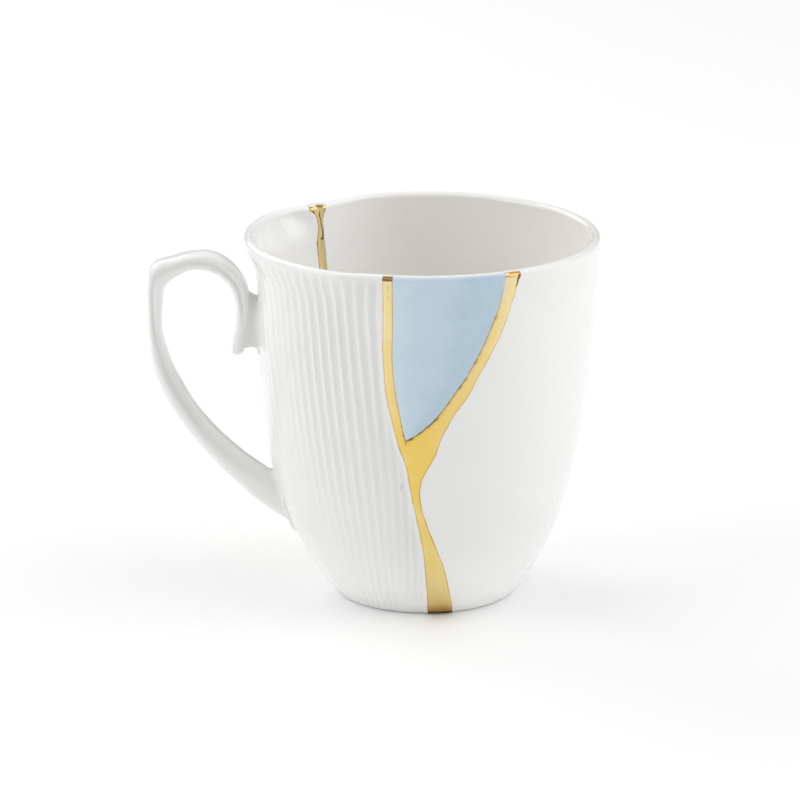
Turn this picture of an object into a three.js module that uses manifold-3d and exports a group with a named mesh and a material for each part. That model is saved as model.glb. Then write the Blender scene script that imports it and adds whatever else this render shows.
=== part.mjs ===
// A porcelain mug mended with gold-filled seams: a fluted shard that carries the handle, a plain
// shard and a pale blue shard, joined by one branching gold seam that runs down the front, across
// the underside and up the back. Millimetres, +Z up. The cup's axis is Z, the mug stands on Z = 0
// and the handle points along -X. Angles are in degrees, counted from +X towards +Y.

import * as THREE from "three";
import { mergeVertices } from "three/addons/utils/BufferGeometryUtils.js";
import Module from "manifold-3d";

const wasm = await Module();
wasm.setup();

// Cup
const MUG_HEIGHT = 98;
const FOOT_RADIUS = 23.7;
const RIM_RADIUS = 46.2;
const BELLY_RISE = 22;
const BELLY_SHARE = 0.78;
const WALL = 3;
const LIP_THICKNESS = 2.9;
const FLOOR = 4.5;
const FLOOR_FILLET = 7;
const FOOT_RING_WIDTH = 2.6;
const FOOT_RECESS = 0.6;
const FOOT_BEVEL = 0.5;

// How the fluted shard's form departs from the plain one, outwards: a fuller belly, a neck drawn in
// under the rim and a flared lip, each at a share of the height, blended in from the seams
const FLUTED_BELLY = 1.5;
const FLUTED_BELLY_SHARE = 0.38;
const FLUTED_BELLY_SPREAD_SHARE = 0.22;
const FLUTED_NECK = 0.7;
const FLUTED_NECK_SHARE = 0.86;
const FLUTED_NECK_SPREAD_SHARE = 0.09;
const FLUTED_LIP = 2.1;
const FLUTED_LIP_START_SHARE = 0.905;
const FLUTED_LIP_END_SHARE = 0.985;
const FLUTED_FRONT_ANGLE = 16;
const FLUTED_BACK_ANGLE = 10;

// Flutes between the ribs
const RIB_COUNT = 35;
const RIB_ARC_ANGLE = 133;
const RIB_START_ANGLE = -88.8;
const RIB_LEAN_ANGLE = 4;
const RIB_UPRIGHT_SHARE = 0.35;
const RIB_ROUND_POWER = 0.7;
const FLUTE_DEPTH = 0.45;
const FLUTE_MARGIN = 2.2;
const FLUTE_MARGIN_BLEND = 2;
const FLUTE_TOP = 3;
const FLUTE_TOP_BLEND = 3.5;

// Gold seam
const SEAM_PROUD = 0.3;
const SEAM_CLEARANCE = 0.3;

// Handle
const HANDLE_REACH = 30;
const HANDLE_WIDTH = 8.6;
const HANDLE_THICKNESS = 3.9;
const HANDLE_CHANNEL = 0.5;
const HANDLE_CHANNEL_SPREAD_SHARE = 0.2;
const HANDLE_ANGLE = 180;
const HANDLE_BASE_SHARE = 0.7;
const HANDLE_ROOT_SHARE = 0.247;
const HANDLE_ROOT_LENGTH = 16;
const HANDLE_ROOT_WIDTH = 10.5;
const HANDLE_ROOT_RUN_SHARE = 0.2;
const HANDLE_TIP_RUN_SHARE = 0.04;
const HANDLE_TIP_BLUNT_RATIO = 0.02;
const SECTION_EDGE_POWER = 0.8;
const SECTION_FACE_POWER = 0.65;
const LUG_LOW_SHARE = 0.6755;
const LUG_HIGH_SHARE = 0.812;
const LUG_RISE = 3.2;
const LUG_WIDTH = 6.4;

// The broken edges of the shards: share of the mug's height, and angle round the cup
const FLUTED_EDGE = [
  [0, -88.9], [0.1, -90], [0.18, -90.6], [0.25, -91.7], [0.325, -93.8], [0.4, -95.7], [0.47, -97],
  [0.53, -99.4], [0.6, -101.5], [0.67, -103.2], [0.77, -104], [0.93, -103.7], [1, -103.8],
];
const PLAIN_EDGE = [
  [0, -73.9], [0.09, -79.4], [0.177, -82.8], [0.215, -85], [0.29, -88.9], [0.36, -91.4], [0.39, -91.8],
  [0.433, -90.5], [0.5, -86.4], [0.554, -84.4], [0.604, -81.2], [0.668, -75.7], [0.733, -71.4],
  [0.796, -66.9], [0.857, -63.1], [0.92, -60.3], [1, -57.5],
];
const BLUE_LEFT_EDGE = [
  [0.5, -95.6], [0.55, -97], [0.603, -98.5], [0.67, -100.1], [0.77, -101.1], [0.85, -100.8], [1, -100.7],
];
const BLUE_RIGHT_EDGE = [
  [0.545, -96.6], [0.57, -91.4], [0.605, -86.8], [0.67, -80.7], [0.735, -75.3], [0.8, -71],
  [0.862, -67.5], [0.925, -64.6], [1, -61.9],
];
const FLUTED_BACK_EDGE = [
  [0, 134], [0.2, 136.5], [0.5, 133.6], [0.83, 134.9], [0.93, 134.6], [0.965, 135.4], [1, 136.6],
];
const PLAIN_BACK_EDGE = [
  [0, 127], [0.2, 130.6], [0.5, 128.8], [0.83, 129.8], [0.95, 130.3], [1, 128.7],
];

// The handle's middle line from the belly to the scroll: share of its reach out from the cup, share
// of the mug's height, and thickness as a multiple of HANDLE_THICKNESS
const HANDLE_LINE = [
  [0.02, 0.3, 2.2], [0.21, 0.358, 1.6], [0.45, 0.428, 1.3], [0.633, 0.496, 1.22], [0.763, 0.563, 1.17],
  [0.857, 0.631, 1.12], [0.918, 0.72, 1.06], [0.925, 0.8, 1.1], [0.917, 0.853, 1.26], [0.87, 0.891, 1.5],
  [0.74, 0.912, 1.22], [0.6, 0.921, 1.05], [0.44, 0.9225, 1], [0.3, 0.903, 1.12], [0.187, 0.86, 1.08],
  [0.14, 0.81, 1], [0.143, 0.76, 0.94], [0.168, 0.712, 0.94], [0.207, 0.663, 1.05],
];

// How finely the faceted surfaces are cut
const PLAIN_STEP_ANGLE = 9;
const SAMPLES_PER_RIB = 3;
const LIP_STEPS = 4;
const FILLET_STEPS = 3;
const WALL_STEPS = 13;
const INNER_STEPS = 6;
const SEAM_STEPS = 28;
const STRAP_STEPS = 30;
const STRAP_SIDES = 12;
const LUG_SIDES = 8;

const radians = THREE.MathUtils.degToRad;
const smooth = THREE.MathUtils.smoothstep;
const lerp = THREE.MathUtils.lerp;
const bell = (u) => Math.exp(-u * u);

/** A smooth curve through pairs of [position, value], held at its ends. */
function curveThrough(pairs) {
  const positions = pairs.map((pair) => pair[0]);
  const curve = new THREE.CubicInterpolant(positions, pairs.map((pair) => pair[1]), 1);
  const first = positions[0];
  const last = positions[positions.length - 1];
  return (position) => curve.evaluate(THREE.MathUtils.clamp(position, first, last))[0];
}

const flutedEdge = curveThrough(FLUTED_EDGE);
const plainEdge = curveThrough(PLAIN_EDGE);
const blueLeftEdge = curveThrough(BLUE_LEFT_EDGE);
const blueRightEdge = curveThrough(BLUE_RIGHT_EDGE);
const flutedBackEdge = curveThrough(FLUTED_BACK_EDGE);
const plainBackEdge = curveThrough(PLAIN_BACK_EDGE);

/** Degrees from the fluted shard's front edge towards the handle, from 0 up to a full turn. */
function turnFromFront(angle, share) {
  return THREE.MathUtils.euclideanModulo(flutedEdge(share) - angle, 360);
}

/** How much of the fluted shard's own form an angle has: 0 on the other shards, 1 away from the seams. */
function flutedShare(angle, share) {
  const turn = turnFromFront(angle, share);
  const span = turnFromFront(flutedBackEdge(share), share);
  if (turn >= span) {
    return 0;
  }
  return smooth(turn, 0, FLUTED_FRONT_ANGLE) * smooth(span - turn, 0, FLUTED_BACK_ANGLE);
}

/** Outer radius of the plain cup: a belly that swells fast above the foot, on a straight taper. */
function plainRadius(z) {
  const swell = (1 - Math.exp(-z / BELLY_RISE)) / (1 - Math.exp(-MUG_HEIGHT / BELLY_RISE));
  const share = BELLY_SHARE * swell + (1 - BELLY_SHARE) * (z / MUG_HEIGHT);
  return FOOT_RADIUS + (RIM_RADIUS - FOOT_RADIUS) * share;
}

/** Outer radius without flutes: the fluted side has a fuller belly, a neck and a flared lip. */
function bodyRadius(angle, z) {
  const share = z / MUG_HEIGHT;
  const belly = FLUTED_BELLY * bell((share - FLUTED_BELLY_SHARE) / FLUTED_BELLY_SPREAD_SHARE);
  const neck = FLUTED_NECK * bell((share - FLUTED_NECK_SHARE) / FLUTED_NECK_SPREAD_SHARE);
  const lip = FLUTED_LIP * smooth(share, FLUTED_LIP_START_SHARE, FLUTED_LIP_END_SHARE);
  return plainRadius(z) + flutedShare(angle, share) * (belly - neck + lip);
}

/** Angle of flute number `index` at a height: the flutes lean a little above and below the belly. */
function fluteAngle(index, z) {
  const lean = RIB_LEAN_ANGLE * ((z / MUG_HEIGHT - RIB_UPRIGHT_SHARE) / (1 - RIB_UPRIGHT_SHARE)) ** 2;
  return RIB_START_ANGLE - lean - index * (RIB_ARC_ANGLE / RIB_COUNT);
}

/** Depth of the flutes: rounded ribs, plain margins beside the seams, run out below the lip. */
function fluteDepth(angle, z) {
  const share = z / MUG_HEIGHT;
  const turn = turnFromFront(angle, share);
  const span = turnFromFront(flutedBackEdge(share), share);
  if (turn >= span) {
    return 0;
  }
  const nearest = radians(Math.min(turn, span - turn)) * plainRadius(z);
  const margin = smooth(nearest, FLUTE_MARGIN, FLUTE_MARGIN + FLUTE_MARGIN_BLEND);
  const top = smooth(MUG_HEIGHT - z, FLUTE_TOP, FLUTE_TOP + FLUTE_TOP_BLEND);
  const phase = ((fluteAngle(0, z) - angle) * RIB_COUNT) / RIB_ARC_ANGLE;
  const rib = Math.abs(Math.sin(Math.PI * phase)) ** RIB_ROUND_POWER;
  return FLUTE_DEPTH * margin * top * (1 - rib);
}

function polar(radius, angle, z) {
  return new THREE.Vector3(radius * Math.cos(radians(angle)), radius * Math.sin(radians(angle)), z);
}

/** The mark of a ring's point, counted on past a full turn. */
function markOf(ring, index) {
  return ring.marks[index % ring.marks.length] + Math.floor(index / ring.marks.length);
}

/** A closed surface through rings of points. Each ring has rising marks in one turn, 0 to 1, by
 *  which unequal rings are matched, and a ring of one point closes an end. */
function skin(rings) {
  const positions = [];
  const starts = rings.map((ring) => {
    const start = positions.length / 3;
    ring.points.forEach((point) => positions.push(point.x, point.y, point.z));
    return start;
  });
  const triangles = [];
  for (let row = 0; row + 1 < rings.length; row += 1) {
    const low = rings[row];
    const high = rings[row + 1];
    const lowCount = low.points.length;
    const highCount = high.points.length;
    let i = 0;
    let j = 0;
    while (i < (lowCount > 1 ? lowCount : 0) || j < (highCount > 1 ? highCount : 0)) {
      const lowDone = lowCount === 1 || i === lowCount;
      const highDone = highCount === 1 || j === highCount;
      const a = starts[row] + (i % lowCount);
      const b = starts[row + 1] + (j % highCount);
      if (highDone || (!lowDone && markOf(low, i + 1) <= markOf(high, j + 1))) {
        triangles.push(a, starts[row] + ((i + 1) % lowCount), b);
        i += 1;
      } else {
        triangles.push(a, starts[row + 1] + ((j + 1) % highCount), b);
        j += 1;
      }
    }
  }
  const geometry = new THREE.BufferGeometry();
  geometry.setAttribute("position", new THREE.Float32BufferAttribute(positions, 3));
  geometry.setIndex(triangles);
  return geometry;
}

function toSolid(geometry) {
  const bare = geometry.clone();
  bare.deleteAttribute("normal");
  bare.deleteAttribute("uv");
  const merged = mergeVertices(bare, 1e-4);
  const vertProperties = new Float32Array(merged.getAttribute("position").array);
  const triVerts = new Uint32Array(merged.index.array);
  return new wasm.Manifold(new wasm.Mesh({ numProp: 3, vertProperties, triVerts }));
}

function toGeometry(solid) {
  const mesh = solid.getMesh();
  const geometry = new THREE.BufferGeometry();
  geometry.setAttribute("position", new THREE.BufferAttribute(mesh.vertProperties, mesh.numProp));
  geometry.setIndex(new THREE.BufferAttribute(mesh.triVerts, 1));
  geometry.computeVertexNormals();
  return geometry;
}

/** One level ring round the cup. `radiusAt` gives its radius at an angle. */
function levelRing(angles, radiusAt, z) {
  const from = angles[0];
  return {
    points: angles.map((angle) => polar(radiusAt(angle), angle, z)),
    marks: angles.map((angle) => (angle - from) / 360),
  };
}

/** Angles of a ring, rising from the last flute: fine across the flutes, coarse on the plain side. */
function ribbedAngles(z) {
  const angles = [];
  const fine = RIB_COUNT * SAMPLES_PER_RIB;
  for (let k = fine; k > 0; k -= 1) {
    angles.push(fluteAngle(k / SAMPLES_PER_RIB, z));
  }
  const rest = 360 - RIB_ARC_ANGLE;
  const coarse = Math.ceil(rest / PLAIN_STEP_ANGLE);
  for (let k = 0; k < coarse; k += 1) {
    angles.push(fluteAngle(0, z) + (k * rest) / coarse);
  }
  return angles;
}

function coarseAngles() {
  const count = Math.round(360 / PLAIN_STEP_ANGLE);
  const from = fluteAngle(RIB_COUNT, RIB_UPRIGHT_SHARE * MUG_HEIGHT);
  return Array.from({ length: count }, (_, k) => from + (k * 360) / count);
}

/** The whole unbroken cup. `proud` grows it out of its own surfaces, and `fluted` cuts the flutes. */
function cup(proud, fluted) {
  const coarse = coarseAngles();
  const axisPoint = (z) => ({ points: [new THREE.Vector3(0, 0, z)], marks: [0] });
  const rings = [axisPoint(FOOT_RECESS - proud)];
  const footInner = FOOT_RADIUS - FOOT_RING_WIDTH;
  rings.push(levelRing(coarse, () => footInner - FOOT_BEVEL, FOOT_RECESS - proud));
  rings.push(levelRing(coarse, () => footInner, 0));
  rings.push(levelRing(coarse, () => FOOT_RADIUS - FOOT_BEVEL, 0));

  const lipRadius = LIP_THICKNESS / 2 + proud;
  const lipHeight = MUG_HEIGHT - LIP_THICKNESS / 2;
  for (let k = 0; k < WALL_STEPS; k += 1) {
    const z = lerp(FOOT_BEVEL, lipHeight, (1 - Math.cos((Math.PI * k) / WALL_STEPS)) / 2);
    const depth = (angle) => (fluted ? fluteDepth(angle, z) : 0);
    const angles = fluted ? ribbedAngles(z) : coarse;
    rings.push(levelRing(angles, (angle) => bodyRadius(angle, z) + proud - depth(angle), z));
  }
  for (let k = 0; k <= LIP_STEPS; k += 1) {
    const turn = (Math.PI * k) / LIP_STEPS;
    const middle = (angle) => bodyRadius(angle, lipHeight) - LIP_THICKNESS / 2;
    const z = lipHeight + lipRadius * Math.sin(turn);
    rings.push(levelRing(coarse, (angle) => middle(angle) + lipRadius * Math.cos(turn), z));
  }
  const filletTop = FLOOR + FLOOR_FILLET;
  for (let k = 1; k <= INNER_STEPS; k += 1) {
    const z = lerp(lipHeight, filletTop, k / INNER_STEPS);
    rings.push(levelRing(coarse, (angle) => bodyRadius(angle, z) - WALL - proud, z));
  }
  for (let k = 1; k <= FILLET_STEPS; k += 1) {
    const turn = (Math.PI / 2) * (k / FILLET_STEPS);
    const inward = FLOOR_FILLET * (1 - Math.cos(turn));
    const z = filletTop - FLOOR_FILLET * Math.sin(turn) + proud;
    rings.push(levelRing(coarse, (angle) => bodyRadius(angle, z) - WALL - proud - inward, z));
  }
  rings.push(axisPoint(FLOOR + proud));
  return toSolid(skin(rings));
}

/** One side of a cut through the wall at an angle: a point in the hollow, never lower than just
 *  above the floor, and a point outside, on the line from there through the cup's surface. */
function wallCut(angle, z) {
  const beyond = SEAM_PROUD + WALL;
  const innerZ = Math.max(z, FLOOR + WALL);
  const radius = (height) => bodyRadius(angle, Math.min(height, MUG_HEIGHT));
  const inner = polar(radius(innerZ) - WALL - beyond / 2, angle, innerZ);
  const surface = polar(radius(z), angle, z);
  const direction = surface.clone().sub(inner).normalize();
  return { inner, outer: surface.addScaledVector(direction, beyond) };
}

/** The same cut in the floor, `along` of the way from the front of the foot to its back. */
function floorCut(frontAngle, backAngle, along) {
  const inset = FOOT_RADIUS - WALL;
  const middle = polar(inset, frontAngle, 0).lerp(polar(inset, backAngle, 0), along);
  return {
    outer: new THREE.Vector3(middle.x, middle.y, -WALL),
    inner: new THREE.Vector3(middle.x, middle.y, FLOOR + WALL),
  };
}

/** One cross-section of a cut, from the cut sides at its left and right edges. */
function cutRing(left, right) {
  return { points: [left.outer, right.outer, right.inner, left.inner], marks: [0, 0.25, 0.5, 0.75] };
}

/** A solid ribbon through rings, closed by a point at each end. */
function ribbon(rings) {
  const middle = (ring) => {
    const sum = ring.points.reduce((total, point) => total.add(point), new THREE.Vector3());
    return { points: [sum.divideScalar(ring.points.length)], marks: [0] };
  };
  return toSolid(skin([middle(rings[0]), ...rings, middle(rings[rings.length - 1])]));
}

/** Heights down the wall, from above the lip to `low`. */
function cutHeights(low) {
  const top = MUG_HEIGHT + WALL;
  return Array.from({ length: SEAM_STEPS + 1 }, (_, k) => lerp(top, low, k / SEAM_STEPS));
}

/** The gap between the fluted shard and the blue one, made `grow` wider on each side. */
function leftBranch(grow) {
  const rings = cutHeights(BLUE_LEFT_EDGE[0][0] * MUG_HEIGHT).map((z) => {
    const share = z / MUG_HEIGHT;
    const turn = THREE.MathUtils.radToDeg(grow / plainRadius(z));
    return cutRing(wallCut(flutedEdge(share) - turn, z), wallCut(blueLeftEdge(share) + turn, z));
  });
  return ribbon(rings.reverse());
}

/** The gap beside the plain shard: down the front, across the floor and up the back. */
function mainBranch(grow) {
  const tip = BLUE_RIGHT_EDGE[0][0];
  const turnAt = (z) => THREE.MathUtils.radToDeg(grow / plainRadius(z));
  const front = cutHeights(0).map((z) => {
    const share = z / MUG_HEIGHT;
    const left = share > tip ? blueRightEdge(share) : flutedEdge(share);
    return cutRing(wallCut(left - turnAt(z), z), wallCut(plainEdge(share) + turnAt(z), z));
  });
  const back = cutHeights(0).map((z) => {
    const share = z / MUG_HEIGHT;
    const left = flutedBackEdge(share) + turnAt(z);
    return cutRing(wallCut(left, z), wallCut(plainBackEdge(share) - turnAt(z), z));
  });
  const turn = turnAt(0);
  const floor = [0, 1].map((along) =>
    cutRing(
      floorCut(flutedEdge(0) - turn, flutedBackEdge(0) + turn, along),
      floorCut(plainEdge(0) + turn, plainBackEdge(0) - turn, along),
    ),
  );
  const rings = [...front, ...floor, ...back.reverse()];
  return ribbon(rings.reverse());
}

/** Points of a section: `along` in the handle's plane and `across` it, with a shallow channel down
 *  each side face. */
function section(length, width, channel, sides) {
  const squared = (value, power) => Math.sign(value) * Math.abs(value) ** power;
  return Array.from({ length: sides }, (_, k) => {
    const turn = (2 * Math.PI * k) / sides;
    const along = (length / 2) * squared(Math.cos(turn), SECTION_EDGE_POWER);
    const dip = channel * bell(along / (HANDLE_CHANNEL_SPREAD_SHARE * length));
    return { along, across: squared(Math.sin(turn), SECTION_FACE_POWER) * (width / 2 - dip) };
  });
}

function evenMarks(points) {
  return points.map((_, k) => k / points.length);
}

/** A section laid in the middle of the cup's wall at the handle's side, centred at a height. */
function rootRing(height, length, width, sides) {
  const points = section(length, width, 0, sides).map(({ along, across }) => {
    const z = height + along;
    const radius = bodyRadius(HANDLE_ANGLE, z) - WALL / 2;
    return new THREE.Vector3(-Math.sqrt(radius * radius - across * across), across, z);
  });
  return { points, marks: evenMarks(points) };
}

/** Where a point of the handle is: `out` as a share of its reach, `up` as a share of the height. */
function handlePoint(out, up) {
  const x = -(plainRadius(HANDLE_BASE_SHARE * MUG_HEIGHT) + out * HANDLE_REACH);
  return new THREE.Vector3(x, 0, up * MUG_HEIGHT);
}

/** The strap: a swept section that leaves the belly, loops over the top and ends in a scroll. */
function strap() {
  const curve = new THREE.CatmullRomCurve3(HANDLE_LINE.map(([out, up]) => handlePoint(out, up)));
  const thickness = curveThrough(HANDLE_LINE.map((entry, index) => [index, entry[2]]));
  const rootHeight = HANDLE_ROOT_SHARE * MUG_HEIGHT;
  const rings = [rootRing(rootHeight, HANDLE_ROOT_LENGTH, HANDLE_ROOT_WIDTH, STRAP_SIDES)];
  for (let k = 0; k <= STRAP_STEPS; k += 1) {
    const u = k / STRAP_STEPS;
    const centre = curve.getPoint(u);
    const forward = curve.getTangent(u);
    const side = new THREE.Vector3(-forward.z, 0, forward.x);
    const leaving = smooth(u, 0, HANDLE_ROOT_RUN_SHARE);
    const closing = smooth(u, 1 - HANDLE_TIP_RUN_SHARE, 1);
    const ending = Math.sqrt(Math.max(HANDLE_TIP_BLUNT_RATIO, 1 - closing ** 2));
    const length = HANDLE_THICKNESS * thickness(u * (HANDLE_LINE.length - 1)) * ending;
    const width = lerp(HANDLE_ROOT_WIDTH, HANDLE_WIDTH, leaving) * ending;
    const points = section(length, width, HANDLE_CHANNEL * leaving * ending, STRAP_SIDES).map(
      ({ along, across }) => centre.clone().addScaledVector(side, -along).setY(across),
    );
    rings.push({ points, marks: evenMarks(points) });
  }
  return ribbon(rings);
}

/** The lug that ties the loop to the cup above the finger gap, where the loop comes nearest. */
function lug() {
  const middle = ((LUG_HIGH_SHARE + LUG_LOW_SHARE) / 2) * MUG_HEIGHT;
  const length = (LUG_HIGH_SHARE - LUG_LOW_SHARE) * MUG_HEIGHT;
  const loop = HANDLE_LINE.filter(([, up]) => up > LUG_LOW_SHARE);
  const strapSide = handlePoint(Math.min(...loop.map(([out]) => out)), LUG_HIGH_SHARE);
  const root = rootRing(middle, length, LUG_WIDTH, LUG_SIDES);
  const points = section(length + LUG_RISE, LUG_WIDTH, 0, LUG_SIDES).map(
    ({ along, across }) => new THREE.Vector3(strapSide.x, across, middle + LUG_RISE / 2 + along),
  );
  return ribbon([root, { points, marks: evenMarks(points) }]);
}

/** The cup broken into its shards, from the handle's side to the plain side. */
function shards() {
  const apart = cup(0, true)
    .subtract(leftBranch(SEAM_CLEARANCE / 2))
    .subtract(mainBranch(SEAM_CLEARANCE / 2));
  const centre = (solid) => (solid.boundingBox().min[0] + solid.boundingBox().max[0]) / 2;
  return apart.decompose().sort((a, b) => centre(a) - centre(b));
}

function goldSeam() {
  const inset = -SEAM_CLEARANCE / 2;
  return cup(SEAM_PROUD, false).intersect(leftBranch(inset).add(mainBranch(inset)));
}

function porcelain(color) {
  return new THREE.MeshStandardMaterial({ color, roughness: 0.18, metalness: 0 });
}

function addPiece(group, name, solid, material) {
  const mesh = new THREE.Mesh(toGeometry(solid), material);
  mesh.name = name;
  group.add(mesh);
}

const mug = new THREE.Group();
const [flutedShard, blueShard, plainShard] = shards();
addPiece(mug, "fluted_shard_with_handle", flutedShard.add(strap()).add(lug()), porcelain(0xf0efec));
addPiece(mug, "blue_shard", blueShard, porcelain(0xbccfdc));
addPiece(mug, "plain_shard", plainShard, porcelain(0xf4f3f0));
const lustre = new THREE.MeshStandardMaterial({ color: 0xdfb860, roughness: 0.22, metalness: 1 });
addPiece(mug, "gold_seam", goldSeam(), lustre);

export default mug;
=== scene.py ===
"""Dresses a porcelain mug that was broken and mended with gold.

A fluted white shard carries the handle, a plain white shard and a pale blue one complete the cup, and
a branching gold seam joins the three. Lengths are in millimetres until a mesh is made, in metres. The
cup's axis is Z, the mug stands on Z = 0, the handle points along -X and the camera looks along +Y.
Angles round the cup are in degrees, counted from +X towards +Y, and a share is a height divided by
the mug's height.
"""

import logging
import math
from dataclasses import dataclass, field
from enum import Enum

import bmesh
import bpy
import numpy as np
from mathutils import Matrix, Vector


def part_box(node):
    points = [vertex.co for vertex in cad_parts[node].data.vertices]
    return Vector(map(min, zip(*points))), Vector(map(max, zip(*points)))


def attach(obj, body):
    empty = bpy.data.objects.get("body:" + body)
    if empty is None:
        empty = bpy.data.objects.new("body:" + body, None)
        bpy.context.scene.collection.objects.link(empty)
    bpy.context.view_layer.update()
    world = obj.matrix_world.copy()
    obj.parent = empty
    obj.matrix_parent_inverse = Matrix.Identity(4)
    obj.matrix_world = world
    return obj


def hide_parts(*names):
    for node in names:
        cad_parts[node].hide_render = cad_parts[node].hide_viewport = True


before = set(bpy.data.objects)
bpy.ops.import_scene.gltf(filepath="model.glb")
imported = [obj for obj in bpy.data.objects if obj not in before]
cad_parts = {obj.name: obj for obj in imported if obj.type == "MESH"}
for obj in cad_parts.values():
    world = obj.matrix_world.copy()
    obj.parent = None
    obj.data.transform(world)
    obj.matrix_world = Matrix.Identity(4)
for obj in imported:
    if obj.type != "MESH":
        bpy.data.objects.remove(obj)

LOG = logging.getLogger("mug")
MM = 0.001
ROOT = "root"

Pairs = tuple[tuple[float, float], ...]
Colour = tuple[float, float, float]


def smooth(value: np.ndarray, low: float, high: float) -> np.ndarray:
    """0 up to low, 1 from high on, and a soft S between: 3u^2 - 2u^3 of the way u."""
    way = np.clip((np.asarray(value, float) - low) / (high - low), 0.0, 1.0)
    return way * way * (3.0 - 2.0 * way)


def bell(value: np.ndarray) -> np.ndarray:
    """A bell curve, e to the minus value squared."""
    return np.exp(-np.square(value))


def polar(radius: np.ndarray, angle: np.ndarray, z: np.ndarray) -> np.ndarray:
    """Points at a radius and an angle in degrees from the cup's axis, at height z."""
    turn = np.radians(angle)
    return np.stack(np.broadcast_arrays(radius * np.cos(turn), radius * np.sin(turn), z), axis=-1)


def between(first: np.ndarray, last: np.ndarray, ways: np.ndarray) -> np.ndarray:
    """A new second axis of points, each a straight share of the way from first to last.

    Args:
        first: points, one row each.
        last: as many points.
        ways: shares of the way, 0 to 1.

    Returns:
        Points of shape (rows, ways, 3): first * (1 - way) + last * way.
    """
    way = np.asarray(ways)[None, :, None]
    return first[:, None, :] * (1.0 - way) + last[:, None, :] * way


def eased(count: int) -> np.ndarray:
    """count + 1 shares from 0 to 1 that crowd at both ends: half of 1 - cos(pi k / count)."""
    return (1.0 - np.cos(np.pi * np.arange(count + 1) / count)) / 2.0


@dataclass(frozen=True)
class Curve:
    """A smooth curve through pairs of position and value, held at its ends."""

    pairs: Pairs

    def __call__(self, position: np.ndarray) -> np.ndarray:
        """Values of the curve.

        Between two knots it is the cubic that takes their values and slopes, and a knot's slope is
        the mean of the straight slopes on its two sides.

        Args:
            position: where to read the curve.

        Returns:
            The values there, in the same shape.
        """
        knots, values = np.array(self.pairs).T
        straight = np.diff(values) / np.diff(knots)
        slopes = np.concatenate([straight[:1], (straight[1:] + straight[:-1]) / 2.0, straight[-1:]])
        held = np.clip(position, knots[0], knots[-1])
        index = np.clip(np.searchsorted(knots, held, side="right") - 1, 0, len(knots) - 2)
        step = knots[index + 1] - knots[index]
        u = (held - knots[index]) / step
        low = (1.0 + 2.0 * u) * (1.0 - u) ** 2 * values[index]
        high = (3.0 - 2.0 * u) * u**2 * values[index + 1]
        bend = u * (1.0 - u) * step * ((1.0 - u) * slopes[index] - u * slopes[index + 1])
        return low + high + bend


class Face(Enum):
    """The two faces of the cup's wall."""

    OUTER = 1
    INNER = -1


@dataclass(frozen=True)
class Stations:
    """One face of the wall, station by station from the lip's crest down to the floor.

    Fields hold one value for each station: the height at which the cup's radius is taken, how far in
    from that radius the point lies, its height, the height share at which the broken edges are read,
    the face's normal outwards and upwards, and how much of the gold's height shows there.
    """

    level: np.ndarray
    inset: np.ndarray
    z: np.ndarray
    share: np.ndarray
    out: np.ndarray
    up: np.ndarray
    proud: np.ndarray


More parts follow.
